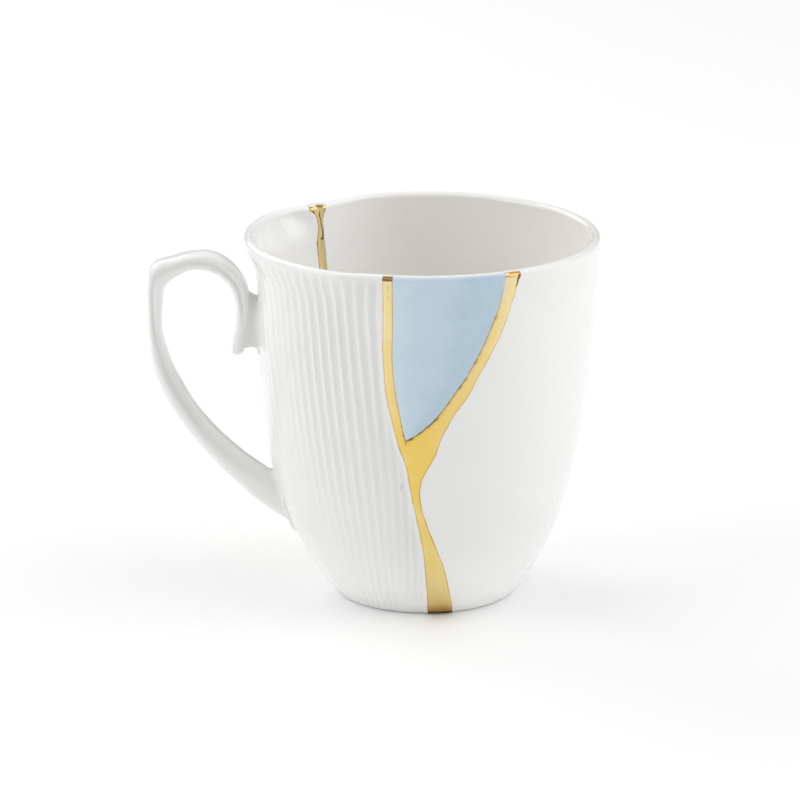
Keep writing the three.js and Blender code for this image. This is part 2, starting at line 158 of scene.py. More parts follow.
@dataclass(frozen=True)
class Cup:
    """The cup's form: its profile, and how the fluted shard departs from the plain one."""

    height: float = 98.0
    foot_radius: float = 23.7
    rim_radius: float = 46.2
    belly_rise: float = 22.0
    belly_share: float = 0.78
    wall: float = 3.0
    lip_thickness: float = 2.9
    floor: float = 4.5
    floor_fillet: float = 7.0
    foot_ring_width: float = 2.6
    foot_recess: float = 0.6
    foot_bevel: float = 0.5
    seam_inset: float = 20.7
    lip_steps: int = 8
    lip_run: float = 5.8
    end_steps: int = 9

    fluted_belly: float = 1.5
    fluted_belly_share: float = 0.38
    fluted_belly_spread: float = 0.22
    fluted_neck: float = 0.7
    fluted_neck_share: float = 0.86
    fluted_neck_spread: float = 0.09
    fluted_lip: float = 2.1
    fluted_lip_start: float = 0.905
    fluted_lip_end: float = 0.985
    fluted_front_blend: float = 16.0
    fluted_back_blend: float = 10.0

    back_step_in: float = 0.9
    back_step_down: float = 0.1
    back_dip: float = 0.75
    back_dip_far: float = 20.0
    back_dip_start: float = 0.9
    back_step_start: float = 0.84
    back_step_near: float = 4.0
    back_step_far: float = 24.0

    rib_pitch: float = 3.8
    rib_middle: float = -112.0
    rib_drift: Curve = Curve((
        (0.0, 0.0), (0.063, 0.9), (0.106, 1.96), (0.15, 2.84), (0.237, 3.56), (0.3, 3.85), (0.368, 3.68),
        (0.455, 3.09), (0.6, 1.5), (0.76, -0.09), (0.85, -1.0), (0.9, -1.25), (0.935, -1.02),
        (0.98, -0.45),
    ))
    rib_spread: float = 0.0113
    rib_squeeze: float = 0.053
    rib_crest_power: float = 2.0
    rib_seam_side: float = 60.0
    flute_depth: float = 0.45
    flute_strength: Curve = Curve((
        (0.0, 0.45), (0.15, 0.34), (0.3, 0.42), (0.45, 0.62), (0.6, 0.75), (0.8, 0.85), (1.0, 0.8),
    ))
    flute_beside: float = 0.75
    flute_beside_near: float = 4.0
    flute_beside_far: float = 16.0
    flute_far: float = 0.2
    flute_fade_near: float = 22.0
    flute_fade_far: float = 52.0
    flute_margin: float = 0.5
    flute_margin_blend: float = 1.3
    flute_top: float = 1.0
    flute_top_blend: float = 2.2

    fluted_edge: Curve = Curve((
        (0.0, -88.1), (0.1, -89.3), (0.18, -90.2), (0.25, -91.5), (0.325, -93.5), (0.4, -95.3),
        (0.47, -96.8), (0.53, -99.3), (0.6, -101.5), (0.67, -103.2), (0.77, -104.0), (0.93, -103.7),
        (1.0, -103.8),
    ))
    plain_edge: Curve = Curve((
        (0.0, -72.6), (0.09, -78.3), (0.177, -82.6), (0.215, -85.0), (0.29, -89.1), (0.36, -91.8),
        (0.39, -92.2), (0.433, -91.2), (0.5, -86.9), (0.554, -84.4), (0.604, -81.2), (0.668, -75.7),
        (0.733, -71.4), (0.796, -67.0), (0.857, -63.6), (0.92, -61.0), (1.0, -58.2),
    ))
    blue_left_edge: Curve = Curve((
        (0.545, -96.7), (0.555, -97.25), (0.603, -98.5), (0.67, -100.1), (0.77, -101.1),
        (0.85, -100.8), (1.0, -100.7),
    ))
    blue_right_edge: Curve = Curve((
        (0.545, -96.7), (0.555, -94.3), (0.575, -90.9), (0.605, -86.8), (0.67, -80.7),
        (0.735, -75.3), (0.8, -71.1), (0.862, -67.8), (0.925, -65.2), (1.0, -63.6),
    ))
    fluted_back_edge: Curve = Curve((
        (0.0, 134.0), (0.2, 136.5), (0.5, 133.4), (0.77, 133.0), (0.826, 133.3), (0.865, 133.7),
        (0.888, 134.0), (0.906, 133.6), (0.924, 133.3), (0.949, 133.8), (0.968, 134.6), (0.981, 135.3),
        (1.0, 137.0),
    ))
    plain_back_edge: Curve = Curve((
        (0.0, 127.0), (0.2, 130.6), (0.5, 128.8), (0.83, 129.8), (0.95, 130.3), (1.0, 128.7),
    ))
    blue_tip_share: float = 0.545

    @property
    def lip_height(self) -> float:
        """Height of the middle of the rounded lip."""
        return self.height - self.lip_thickness / 2.0

    def plain_radius(self, z: np.ndarray) -> np.ndarray:
        """Outer radius of the plain cup: an exponential swell above the foot on a straight taper.

        Args:
            z: heights.

        Returns:
            The radii.
        """
        swell = (1.0 - np.exp(-z / self.belly_rise)) / (1.0 - math.exp(-self.height / self.belly_rise))
        share = self.belly_share * swell + (1.0 - self.belly_share) * z / self.height
        return self.foot_radius + (self.rim_radius - self.foot_radius) * share

    def turn(self, angle: np.ndarray, share: np.ndarray) -> tuple[np.ndarray, np.ndarray]:
        """Degrees from the fluted shard's front edge, and on to its back edge.

        Args:
            angle: angles on the fluted shard.
            share: their shares of the height.

        Returns:
            Degrees from the front edge towards the handle, and from there to the back edge, each
            held within the shard.
        """
        before = 1.0
        front = self.fluted_edge(share)
        span = np.mod(front - self.fluted_back_edge(share), 360.0)
        turned = np.mod(front - angle + before, 360.0) - before
        turned = np.clip(turned, 0.0, span)
        return turned, span - turned

    def fluted_radius(self, angle: np.ndarray, z: np.ndarray) -> np.ndarray:
        """Outer radius of the fluted shard, without flutes.

        The plain radius, plus a bell for the fuller belly, less a bell for the neck, plus a flare
        at the lip, all blended out at the seams, less the step beside the back seam.

        Args:
            angle: angles on the shard.
            z: heights.

        Returns:
            The radii.
        """
        share = z / self.height
        turned, left = self.turn(angle, share)
        own = smooth(turned, 0.0, self.fluted_front_blend) * smooth(left, 0.0, self.fluted_back_blend)
        belly = self.fluted_belly * bell((share - self.fluted_belly_share) / self.fluted_belly_spread)
        neck = self.fluted_neck * bell((share - self.fluted_neck_share) / self.fluted_neck_spread)
        lip = self.fluted_lip * smooth(share, self.fluted_lip_start, self.fluted_lip_end)
        step = self.back_step_in * self.back_step(angle, share)
        return self.plain_radius(z) + own * (belly - neck + lip) - step

    def slant(self, edge: Curve, share: np.ndarray, radius: np.ndarray) -> np.ndarray:
        """How much longer a level step to a broken edge is than the shortest one.

        It is the square root of 1 plus the square of the edge's run round the cup for its rise.

        Args:
            edge: the edge's angle against the height share.
            share: where to read it.
            radius: the face's radius there.

        Returns:
            The factor, 1 where the edge is upright.
        """
        step = 0.002
        run = (edge(share + step) - edge(share - step)) / (2.0 * step)
        return np.sqrt(1.0 + (np.radians(run) * radius / self.height) ** 2)

    def back_step(self, angle: np.ndarray, share: np.ndarray) -> np.ndarray:
        """How much of the rim's step beside the back seam there is.

        It is full beside the seam and under the lip, and fades round the cup and downwards.

        Args:
            angle: angles on the fluted shard.
            share: their shares of the height.

        Returns:
            The share of the step, 0 to 1.
        """
        _, left = self.turn(angle, share)
        near = 1.0 - smooth(left, self.back_step_near, self.back_step_far)
        return near * smooth(share, self.back_step_start, 1.0)

    def plain_dip(self, angle: np.ndarray, share: np.ndarray) -> np.ndarray:
        """How far the plain rim dips towards the back seam.

        Args:
            angle: angles on the plain shard.
            share: their shares of the height.

        Returns:
            The dip in millimetres, fading round the cup and downwards.
        """
        away = np.abs(self.plain_back_edge(share) - angle)
        near = 1.0 - smooth(away, 0.0, self.back_dip_far)
        return self.back_dip * near * smooth(share, self.back_dip_start, 1.0)

    def flute(self, angle: np.ndarray, z: np.ndarray) -> np.ndarray:
        """How deep in a flute a point lies, 0 on a rib's crest and 1 in a valley.

        The crests are a power of a squared cosine of the angle, narrower than the hollows between
        them. They drift round the cup with the height, closer together at the seam's side and wider
        apart at the handle's. They run out beside the seams and under the lip, and are shallower
        towards the handle and the foot.

        Args:
            angle: angles on the shard.
            z: heights.

        Returns:
            Shares of the flutes' depth.
        """
        share = z / self.height
        turned, left = self.turn(angle, share)
        nearest = np.radians(np.minimum(turned, left)) * self.plain_radius(z)
        margin = smooth(nearest, self.flute_margin, self.flute_margin + self.flute_margin_blend)
        top = smooth(self.height - z, self.flute_top, self.flute_top + self.flute_top_blend)
        drift = self.rib_drift(share)
        handle_side = 360.0 - self.rib_seam_side
        away = np.mod(angle - self.rib_middle + handle_side, 360.0) - handle_side - drift
        place = away / (1.0 - drift * np.where(away < 0.0, self.rib_spread, self.rib_squeeze))
        crest = (np.cos(np.pi * place / self.rib_pitch) ** 2) ** self.rib_crest_power
        beside = self.flute_beside * (1.0 - smooth(turned, self.flute_beside_near, self.flute_beside_far))
        strength = np.maximum(self.flute_strength(share), beside)
        fade = smooth(turned, self.flute_fade_near, self.flute_fade_far)
        return margin * top * strength * (1.0 - (1.0 - self.flute_far) * fade) * (1.0 - crest)

    def stations(self, face: Face, above: int, below: int) -> Stations:
        """Stations down one face of the wall, with one at the blue shard's tip.

        The lip is half a circle. The outer face goes on round the foot ring to its recess. The
        inner one goes down a fillet to where the seams turn to cross the floor. Both faces have as
        many stations, so that a broken edge can be closed from one to the other.

        Args:
            face: the face.
            above: steps from the lip to the blue tip.
            below: steps from the tip to the foot, or 0 to end at the tip.

        Returns:
            The stations.
        """
        half = self.lip_thickness / 2.0
        sign = float(face.value)
        lip_turn = np.linspace(np.pi / 2.0, 0.0, self.lip_steps + 1)
        level = [np.full_like(lip_turn, self.lip_height)]
        inset = [half - sign * half * np.cos(lip_turn)]
        z = [self.lip_height + half * np.sin(lip_turn)]
        share = [np.ones_like(lip_turn)]
        out = [sign * np.cos(lip_turn)]
        up = [np.sin(lip_turn)]
        proud = [np.ones_like(lip_turn)]

        tip = self.blue_tip_share * self.height
        foot = self.foot_bevel if face is Face.OUTER else self.floor + self.floor_fillet
        heights = [np.linspace(self.lip_height, tip, above + 1)[1:]]
        if below:
            heights.append(tip + (foot - tip) * np.sin(np.linspace(0.0, np.pi / 2.0, below + 1)[1:]))
        wall_z = np.concatenate(heights)
        thick = self.lip_thickness + (self.wall - self.lip_thickness) * smooth(
            self.lip_height - wall_z, 0.0, self.lip_run
        )
        level.append(wall_z)
        inset.append(np.zeros_like(wall_z) if face is Face.OUTER else thick)
        z.append(wall_z)
        share.append(wall_z / self.height)
        out.append(np.full_like(wall_z, sign))
        up.append(np.zeros_like(wall_z))
        proud.append(np.ones_like(wall_z))
        if below:
            end = self.foot_stations() if face is Face.OUTER else self.fillet_stations()
            for values, more in zip((level, inset, z, share, out, up, proud), end):
                values.append(more)
        parts = (level, inset, z, share, out, up, proud)
        return Stations(*(np.concatenate(part) for part in parts))

    def foot_stations(self) -> tuple[np.ndarray, ...]:
        """Stations round the foot ring, from its outer bevel to the recess inside it.

        Returns:
            The fields of Stations, in their order. The bevel is a quarter circle.
        """
        bevel = np.radians([22.5, 45.0, 67.5, 90.0])
        ring = self.foot_ring_width
        inset = np.concatenate([
            self.foot_bevel * (1.0 - np.cos(bevel)),
            [self.foot_bevel + (ring - self.foot_bevel) / 2.0, ring],
            ring + self.foot_bevel * np.array([0.15, 0.75, 1.0]),
        ])
        z = np.concatenate([
            self.foot_bevel * (1.0 - np.sin(bevel)),
            [0.0, 0.0],
            self.foot_recess * np.array([0.2, 0.85, 1.0]),
        ])
        out = np.concatenate([np.cos(bevel), [0.0, 0.0], [-0.5, -0.5, 0.0]])
        up = -np.concatenate([np.sin(bevel), [1.0, 1.0], [0.6, 0.6, 1.0]])
        proud = np.array([0.8, 0.4, 0.1, 0.0, 0.0, 0.0, 0.1, 0.6, 1.0])
        none = np.zeros(self.end_steps)
        return none, inset, z, none, out, up, proud

    def fillet_stations(self) -> tuple[np.ndarray, ...]:
        """Stations down the fillet inside, to the radius where the seams turn.

        Returns:
            The fields of Stations, in their order. The fillet is a quarter circle.
        """
        radius, z, turn = self.fillet()
        end = np.interp(-self.seam_inset, -radius, turn)
        way = np.arange(1, self.end_steps + 1) / self.end_steps
        at = end * way
        height = np.interp(at, turn, z)
        inset = self.wall + self.floor_fillet * (1.0 - np.cos(at))
        share = (self.floor + self.floor_fillet) / self.height * (1.0 - way)
        return height, inset, height, share, -np.cos(at), np.sin(at), np.ones_like(at)

    def fillet(self) -> tuple[np.ndarray, np.ndarray, np.ndarray]:
        """The quarter circle between the inner wall and the floor.

        Returns:
            Its radii from the cup's axis, its heights, and the turns at which they are read.
        """
        turn = np.linspace(0.0, np.pi / 2.0, 61)
        z = self.floor + self.floor_fillet * (1.0 - np.sin(turn))
        radius = self.plain_radius(z) - self.wall - self.floor_fillet * (1.0 - np.cos(turn))
        return radius, z, turn

    def floor_height(self, radius: np.ndarray) -> np.ndarray:
        """Height of the floor's upper face at a radius: flat, then up the fillet."""
        fillet_radius, z, _ = self.fillet()
        return np.interp(radius, fillet_radius[::-1], z[::-1])


CUP = Cup(height=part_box("plain_shard")[1].z / MM)


@dataclass
class Sheet:
    """Grids of points with marks, gathered into one closed mesh."""

    points: list[np.ndarray] = field(default_factory=list)
    faces: list[np.ndarray] = field(default_factory=list)
    marks: dict[str, list[np.ndarray]] = field(default_factory=dict)
    count: int = 0

    def add(self, grid: np.ndarray, marks: dict[str, np.ndarray] | None = None, loop: bool = False) -> None:
        """Adds a grid of points, joined by four-sided faces.

        Args:
            grid: points of shape (rows, columns, 3), in millimetres.
            marks: a value or an array of values for each attribute.
            loop: whether the last column joins the first.
        """
        rows, columns = grid.shape[:2]
        index = self.count + np.arange(rows * columns).reshape(rows, columns)
        if loop:
            index = np.concatenate([index, index[:, :1]], axis=1)
        corners = (index[:-1, :-1], index[:-1, 1:], index[1:, 1:], index[1:, :-1])
        self.faces.append(np.stack(corners, axis=-1).reshape(-1, 4))
        self.points.append(grid.reshape(-1, 3))
        self.count += rows * columns
        given = marks or {}
        for name in sorted(set(self.marks) | set(given)):
            held = self.marks.setdefault(name, [np.zeros(self.count - rows * columns)])
            value = np.broadcast_to(np.asarray(given.get(name, 0.0), float), (rows, columns))
            held.append(value.reshape(-1))

    def make(self, name: str, sharp: float = 50.0) -> bpy.types.Object:
        """Makes the mesh in metres: doubles merged, faces outwards, smooth but for sharp creases.

        Args:
            name: the piece's name.
            sharp: the angle in degrees from which an edge is kept sharp.

        Returns:
            The new object, at the origin.
        """
        mesh = bpy.data.meshes.new(name)
        vertices = np.concatenate(self.points) * MM
        mesh.from_pydata(vertices, [], np.concatenate(self.faces))
        for label, parts in self.marks.items():
            values = np.concatenate(parts).astype(np.float32)
            mesh.attributes.new(label, "FLOAT", "POINT").data.foreach_set("value", values)
        work = bmesh.new()
        work.from_mesh(mesh)
        bmesh.ops.remove_doubles(work, verts=work.verts, dist=0.002 * MM)
        bmesh.ops.recalc_face_normals(work, faces=work.faces)
        work.to_mesh(mesh)
        work.free()
        mesh.shade_smooth()
        mesh.set_sharp_from_angle(angle=math.radians(sharp))
        piece = bpy.data.objects.new(name, mesh)
        bpy.context.scene.collection.objects.link(piece)
        return piece


class Shade:
    """A node material in the making. Patterns are read in metres on Object coordinates."""

    def __init__(self, name: str) -> None:
        """Starts a material with a Principled shader on its output.

        Args:
            name: the material's name.
        """
        self.material = bpy.data.materials.new(name)
        self.material.use_nodes = True
        self.tree = self.material.node_tree
        self.tree.nodes.clear()
        self.shader = self.tree.nodes.new("ShaderNodeBsdfPrincipled")
        output = self.tree.nodes.new("ShaderNodeOutputMaterial")
        self.tree.links.new(self.shader.outputs[0], output.inputs[0])
        self.place = self.tree.nodes.new("ShaderNodeTexCoord").outputs["Object"]

    def put(self, socket: bpy.types.NodeSocket, value: object) -> None:
        """Links a socket to another, or sets its value.

        Args:
            socket: the socket that takes it.
            value: another node's socket, a colour or a number.
        """
        if isinstance(value, bpy.types.NodeSocket):
            self.tree.links.new(value, socket)
        elif isinstance(value, tuple) and len(value) == 3 and socket.type == "RGBA":
            socket.default_value = (*value, 1.0)
        else:
            socket.default_value = value

    def set(self, **values: object) -> None:
        """Puts values on the shader's sockets, named with underscores for spaces."""
        for name, value in values.items():
            self.put(self.shader.inputs[name.replace("_", " ").title().replace("Ior", "IOR")], value)

    def mark(self, name: str) -> bpy.types.NodeSocket:
        """Reads a mesh attribute.

        Args:
            name: the attribute's name.

        Returns:
            Its value.
        """
        node = self.tree.nodes.new("ShaderNodeAttribute")
        node.attribute_name = name
        return node.outputs["Fac"]

    def up(self) -> bpy.types.NodeSocket:
        """Reads the height on Object coordinates.

        Returns:
            The height in metres.
        """
        node = self.tree.nodes.new("ShaderNodeSeparateXYZ")
        self.put(node.inputs[0], self.place)
        return node.outputs["Z"]

    def noise(self, size: float, detail: float = 2.0) -> bpy.types.NodeSocket:
        """Cloudy noise about 0.5 on Object coordinates.

        Args:
            size: width of its blotches in millimetres.
            detail: octaves of finer noise.

        Returns:
            The noise's value.
        """
        node = self.tree.nodes.new("ShaderNodeTexNoise")
        self.put(node.inputs["Vector"], self.place)
        node.inputs["Scale"].default_value = 1.0 / (size * MM)
        node.inputs["Detail"].default_value = detail
        return node.outputs["Fac"]

    def math(self, operation: str, *values: object) -> bpy.types.NodeSocket:
        """Works out a value with a Math node.

        Args:
            operation: the node's operation.
            *values: sockets or numbers for its inputs.

        Returns:
            The result.
        """
        node = self.tree.nodes.new("ShaderNodeMath")
        node.operation = operation
        for socket, value in zip(node.inputs, values):
            self.put(socket, value)
        return node.outputs[0]

    def span(
        self, value: bpy.types.NodeSocket, low: float, high: float, start: float = 0.0, end: float = 1.0
    ) -> bpy.types.NodeSocket:
        """A soft step of value from low to high, taken from start to end.

        Args:
            value: what is read.
            low: where the step starts.
            high: where it ends.
            start: the result at low.
            end: the result at high.

        Returns:
            The step's value.
        """
        node = self.tree.nodes.new("ShaderNodeMapRange")
        node.interpolation_type = "SMOOTHSTEP"
        flip = low > high
        ends = (high, low, end, start) if flip else (low, high, start, end)
        for socket, given in zip(node.inputs[1:5], ends):
            socket.default_value = given
        self.put(node.inputs[0], value)
        return node.outputs[0]

    def mix(self, share: object, first: object, second: object) -> bpy.types.NodeSocket:
        """Two colours mixed.

        Args:
            share: the second colour's share.
            first: the colour at 0.
            second: the colour at 1.

        Returns:
            The mixed colour.
        """
        node = self.tree.nodes.new("ShaderNodeMix")
        node.data_type = "RGBA"
        self.put(node.inputs[0], share)
        self.put(node.inputs[6], first)
        self.put(node.inputs[7], second)
        return node.outputs[2]

    def spot(self, place: Colour, size: Colour) -> bpy.types.NodeSocket:
        """An oval spot on Object coordinates: 1 at its middle, 0 from its rim on.

        Args:
            place: its middle in millimetres.
            size: its half widths along the axes.

        Returns:
            The spot's strength.
        """
        last = self.place
        for operation, values in (
            ("SUBTRACT", [value * MM for value in place]),
            ("DIVIDE", [value * MM for value in size]),
            ("LENGTH", None),
        ):
            node = self.tree.nodes.new("ShaderNodeVectorMath")
            node.operation = operation
            self.put(node.inputs[0], last)
            if values:
                node.inputs[1].default_value = values
            last = node.outputs["Vector" if values else "Value"]
        return self.span(last, 1.0, 0.2)

    def bump(self, height: bpy.types.NodeSocket, depth: float) -> None:
        """Dents the surface.

        Args:
            height: a pattern from 0 to 1.
            depth: the depth of the dents in millimetres.
        """
        node = self.tree.nodes.new("ShaderNodeBump")
        self.put(node.inputs["Height"], height)
        node.inputs["Distance"].default_value = depth * MM
        self.put(self.shader.inputs["Normal"], node.outputs["Normal"])


@dataclass(frozen=True)
class Smear:
    """A grey smear in a small pit of the glaze."""

    place: Colour
    size: Colour
    colour: Colour
    strength: float


@dataclass(frozen=True)
class WhiteGlaze:
    """Glossy clear glaze on white porcelain, grey with painted shade in its hollows, with a bare foot ring.
    """

    name: str
    body: Colour
    # The grey of the painted shade in the flutes, the handle's channels and over the lug; the cloudy mottling
    # is tinted with it too.
    hollow_shade: Colour
    lining: Colour = (0.88, 0.868, 0.83)
    # Painted highlight: the lining turns lighter towards the shard's far edge, where the inner wall catches
    # bright reflections.
    lining_highlight: Colour = (0.96, 0.96, 0.95)
    lining_highlight_start: float = 0.8
    # Painted light: the glaze turns towards this lighter white down to the foot, standing in for light thrown
    # up from the floor.
    foot: Colour = (0.975, 0.975, 0.965)
    foot_light_rise: float = 26.0
    stain: Colour = (0.52, 0.27, 0.12)
    stain_width: float = 0.14
    stain_strength: float = 0.5
    biscuit: Colour = (0.72, 0.68, 0.61)
    smear: Smear | None = None
    cloud_size: float = 14.0
    cloud_strength: float = 0.12
    cloud_depth: float = 0.3
    fine_size: float = 2.2
    fine_depth_share: float = 0.08
    # How much of the painted shade grey the deepest hollow takes.
    flute_strength: float = 0.75
    gloss: tuple[float, float] = (0.07, 0.13)
    bare_roughness: float = 0.5

    def build(self) -> bpy.types.Material:
        """The material: mottled white, grey painted shade in the flutes, a brown line beside the gold.

        Returns:
            The material.
        """
        shade = Shade(self.name)
        cloud = shade.noise(self.cloud_size, 3.0)
        fine = shade.noise(self.fine_size)
        body = shade.mix(shade.span(cloud, 0.3, 0.7, 0.0, self.cloud_strength), self.body, self.hollow_shade)
        # Painted shade: greyer by the depth of the flute or channel, and over the lug.
        hollow_shade_share = shade.math("MULTIPLY", shade.mark("flute"), self.flute_strength)
        hollow_shade = shade.mix(hollow_shade_share, body, self.hollow_shade)
        # Painted highlight inside, towards the shard's far edge.
        towards_highlight = shade.span(shade.mark("across"), self.lining_highlight_start, 0.98)
        lining = shade.mix(towards_highlight, self.lining, self.lining_highlight)
        # Painted light, lighter towards the foot.
        foot_lightened = shade.mix(shade.span(shade.up(), self.foot_light_rise * MM, 0.0), hollow_shade, self.foot)
        lined = shade.mix(shade.mark("inside"), foot_lightened, lining)
        wander = shade.math("MULTIPLY_ADD", shade.noise(3.5), 0.1, -0.05)
        beside = shade.math("ADD", shade.mark("seam"), wander)
        line = shade.span(beside, self.stain_width, 0.02, 0.0, self.stain_strength)
        colour = shade.mix(line, lined, self.stain)
        if self.smear:
            spot = shade.spot(self.smear.place, self.smear.size)
            colour = shade.mix(shade.math("MULTIPLY", spot, self.smear.strength), colour, self.smear.colour)
        bare = shade.mark("bare")
        gloss = shade.span(fine, 0.2, 0.8, *self.gloss)
        shade.set(
            base_color=shade.mix(bare, colour, self.biscuit),
            roughness=shade.math("MULTIPLY_ADD", bare, self.bare_roughness, gloss),
            ior=1.5,
        )
        dents = shade.math("ADD", cloud, shade.math("MULTIPLY", fine, self.fine_depth_share))
        shade.bump(dents, self.cloud_depth)
        return shade.material


@dataclass(frozen=True)
class BlueGlaze:
    """Glossy pale sky-blue glaze outside and white inside; its white over the lip is partly thin glaze and
    partly a painted highlight.
    """

    name: str = "pale blue glaze"
    left: Colour = (0.64, 0.77, 0.85)
    middle: Colour = (0.575, 0.71, 0.825)
    right: Colour = (0.49, 0.63, 0.75)
    white: Colour = (0.86, 0.87, 0.86)
    stain: Colour = (0.12, 0.125, 0.13)
    stain_width: float = 0.18
    stain_strength: float = 0.5
    cloud_size: float = 7.0
    cloud_drift: float = 0.5
    cloud_depth: float = 0.12
    spot_size: float = 1.6
    spot_strength: float = 0.16
    gloss: tuple[float, float] = (0.06, 0.12)

    def build(self) -> bpy.types.Material:
        """The material: a blue that turns from pale at the left to deeper, with soft blotches.

        Returns:
            The material.
        """
        shade = Shade(self.name)
        cloud = shade.noise(self.cloud_size, 3.0)
        spots = shade.noise(self.spot_size)
        drift = shade.math("MULTIPLY_ADD", cloud, self.cloud_drift, -self.cloud_drift / 2.0)
        turned = shade.math("ADD", shade.mark("across"), drift)
        half = shade.mix(shade.span(turned, 0.0, 0.3), self.left, self.middle)
        blue = shade.mix(shade.span(turned, 0.35, 0.8), half, self.right)
        blue = shade.mix(shade.span(spots, 0.42, 0.72, 0.0, self.spot_strength), blue, self.left)
        shown = shade.mix(shade.mark("inside"), blue, self.white)
        wander = shade.math("MULTIPLY_ADD", shade.noise(3.5), 0.05, -0.025)
        beside = shade.math("ADD", shade.mark("seam"), wander)
        line = shade.span(beside, self.stain_width, 0.06, 0.0, self.stain_strength)
        shade.set(
            base_color=shade.mix(line, shown, self.stain),
            roughness=shade.span(spots, 0.2, 0.8, *self.gloss),
            ior=1.52,
        )
        shade.bump(cloud, self.cloud_depth)
        return shade.material


@dataclass(frozen=True)
class GoldLustre:
    """Burnished gold over dark lacquer, brown along its borders, over the lips and at the foot."""

    name: str = "gold lustre"
    gold: Colour = (0.76, 0.55, 0.14)
    # The colour of the painted sheen, where the gold stands for bright reflections.
    pale: Colour = (0.84, 0.70, 0.37)
    amber: Colour = (0.60, 0.33, 0.05)
    lacquer: Colour = (0.13, 0.045, 0.012)
    border: Colour = (0.42, 0.19, 0.07)
    border_width: float = 0.2
    border_strength: float = 0.6
    # The white of the painted highlight on the gold.
    glare_white: Colour = (0.86, 0.85, 0.81)
    cloud_size: float = 9.0
    cloud_depth: float = 0.3
    fine_size: float = 1.1
    fine_depth_share: float = 0.02
    wear_noise: float = 1.6
    lacquer_metal: float = 0.25
    gloss: tuple[float, float] = (0.2, 0.26)

    def build(self) -> bpy.types.Material:
        """The material: gold that pales and darkens in soft clouds, and pales further with painted sheen
        where marked.

        It is worn to lacquer where marked, and painted white with less metal, a painted highlight, where
        marked on the lip's crest and beside the right branch's gap.

        Returns:
            The material.
        """
        shade = Shade(self.name)
        cloud = shade.noise(self.cloud_size)
        fine = shade.noise(self.fine_size)
        # Painted sheen where marked, with random clouds on top.
        sheened = shade.math("ADD", shade.mark("pale"), shade.span(cloud, 0.35, 0.7, -0.12, 0.2))
        tone = shade.mix(sheened, self.gold, self.pale)
        tone = shade.mix(shade.mark("amber"), tone, self.amber)
        wander = shade.math("MULTIPLY_ADD", shade.noise(2.6), 0.05, -0.025)
        beside = shade.math("ADD", shade.mark("border"), wander)
        edge = shade.span(beside, self.border_width, 0.02, 0.0, self.border_strength)
        tone = shade.mix(edge, tone, self.border)
        grain = shade.math("MULTIPLY_ADD", fine, self.wear_noise, -self.wear_noise / 2.0)
        worn = shade.math("ADD", shade.mark("worn"), grain)
        most = shade.math("MINIMUM", shade.mark("worn"), 1.0)
        bare = shade.math("MULTIPLY", shade.span(worn, 0.3, 0.75), most)
        # Painted highlight: whiter and less metallic where marked.
        rubbed = shade.mark("rubbed")
        metal = shade.math("MULTIPLY_ADD", bare, self.lacquer_metal - 1.0, 1.0)
        shade.set(
            base_color=shade.mix(rubbed, shade.mix(bare, tone, self.lacquer), self.glare_white),
            metallic=shade.math("SUBTRACT", metal, rubbed),
            roughness=shade.span(fine, 0.25, 0.75, *self.gloss),
        )
        dents = shade.math("ADD", cloud, shade.math("MULTIPLY", fine, self.fine_depth_share))
        shade.bump(dents, self.cloud_depth)
        return shade.material


def close_edge(sheet: Sheet, outer: np.ndarray, inner: np.ndarray, steps: int = 3, **marks: float) -> None:
    """Closes a broken edge of the wall with straight lines from its outer face to its inner one.

    Args:
        sheet: the mesh that is being gathered.
        outer: points down the edge on the outer face.
        inner: as many points on the inner face.
        steps: faces through the wall.
        **marks: attribute values of the edge.
    """
    sheet.add(between(outer, inner, np.linspace(0.0, 1.0, steps + 1)), marks)


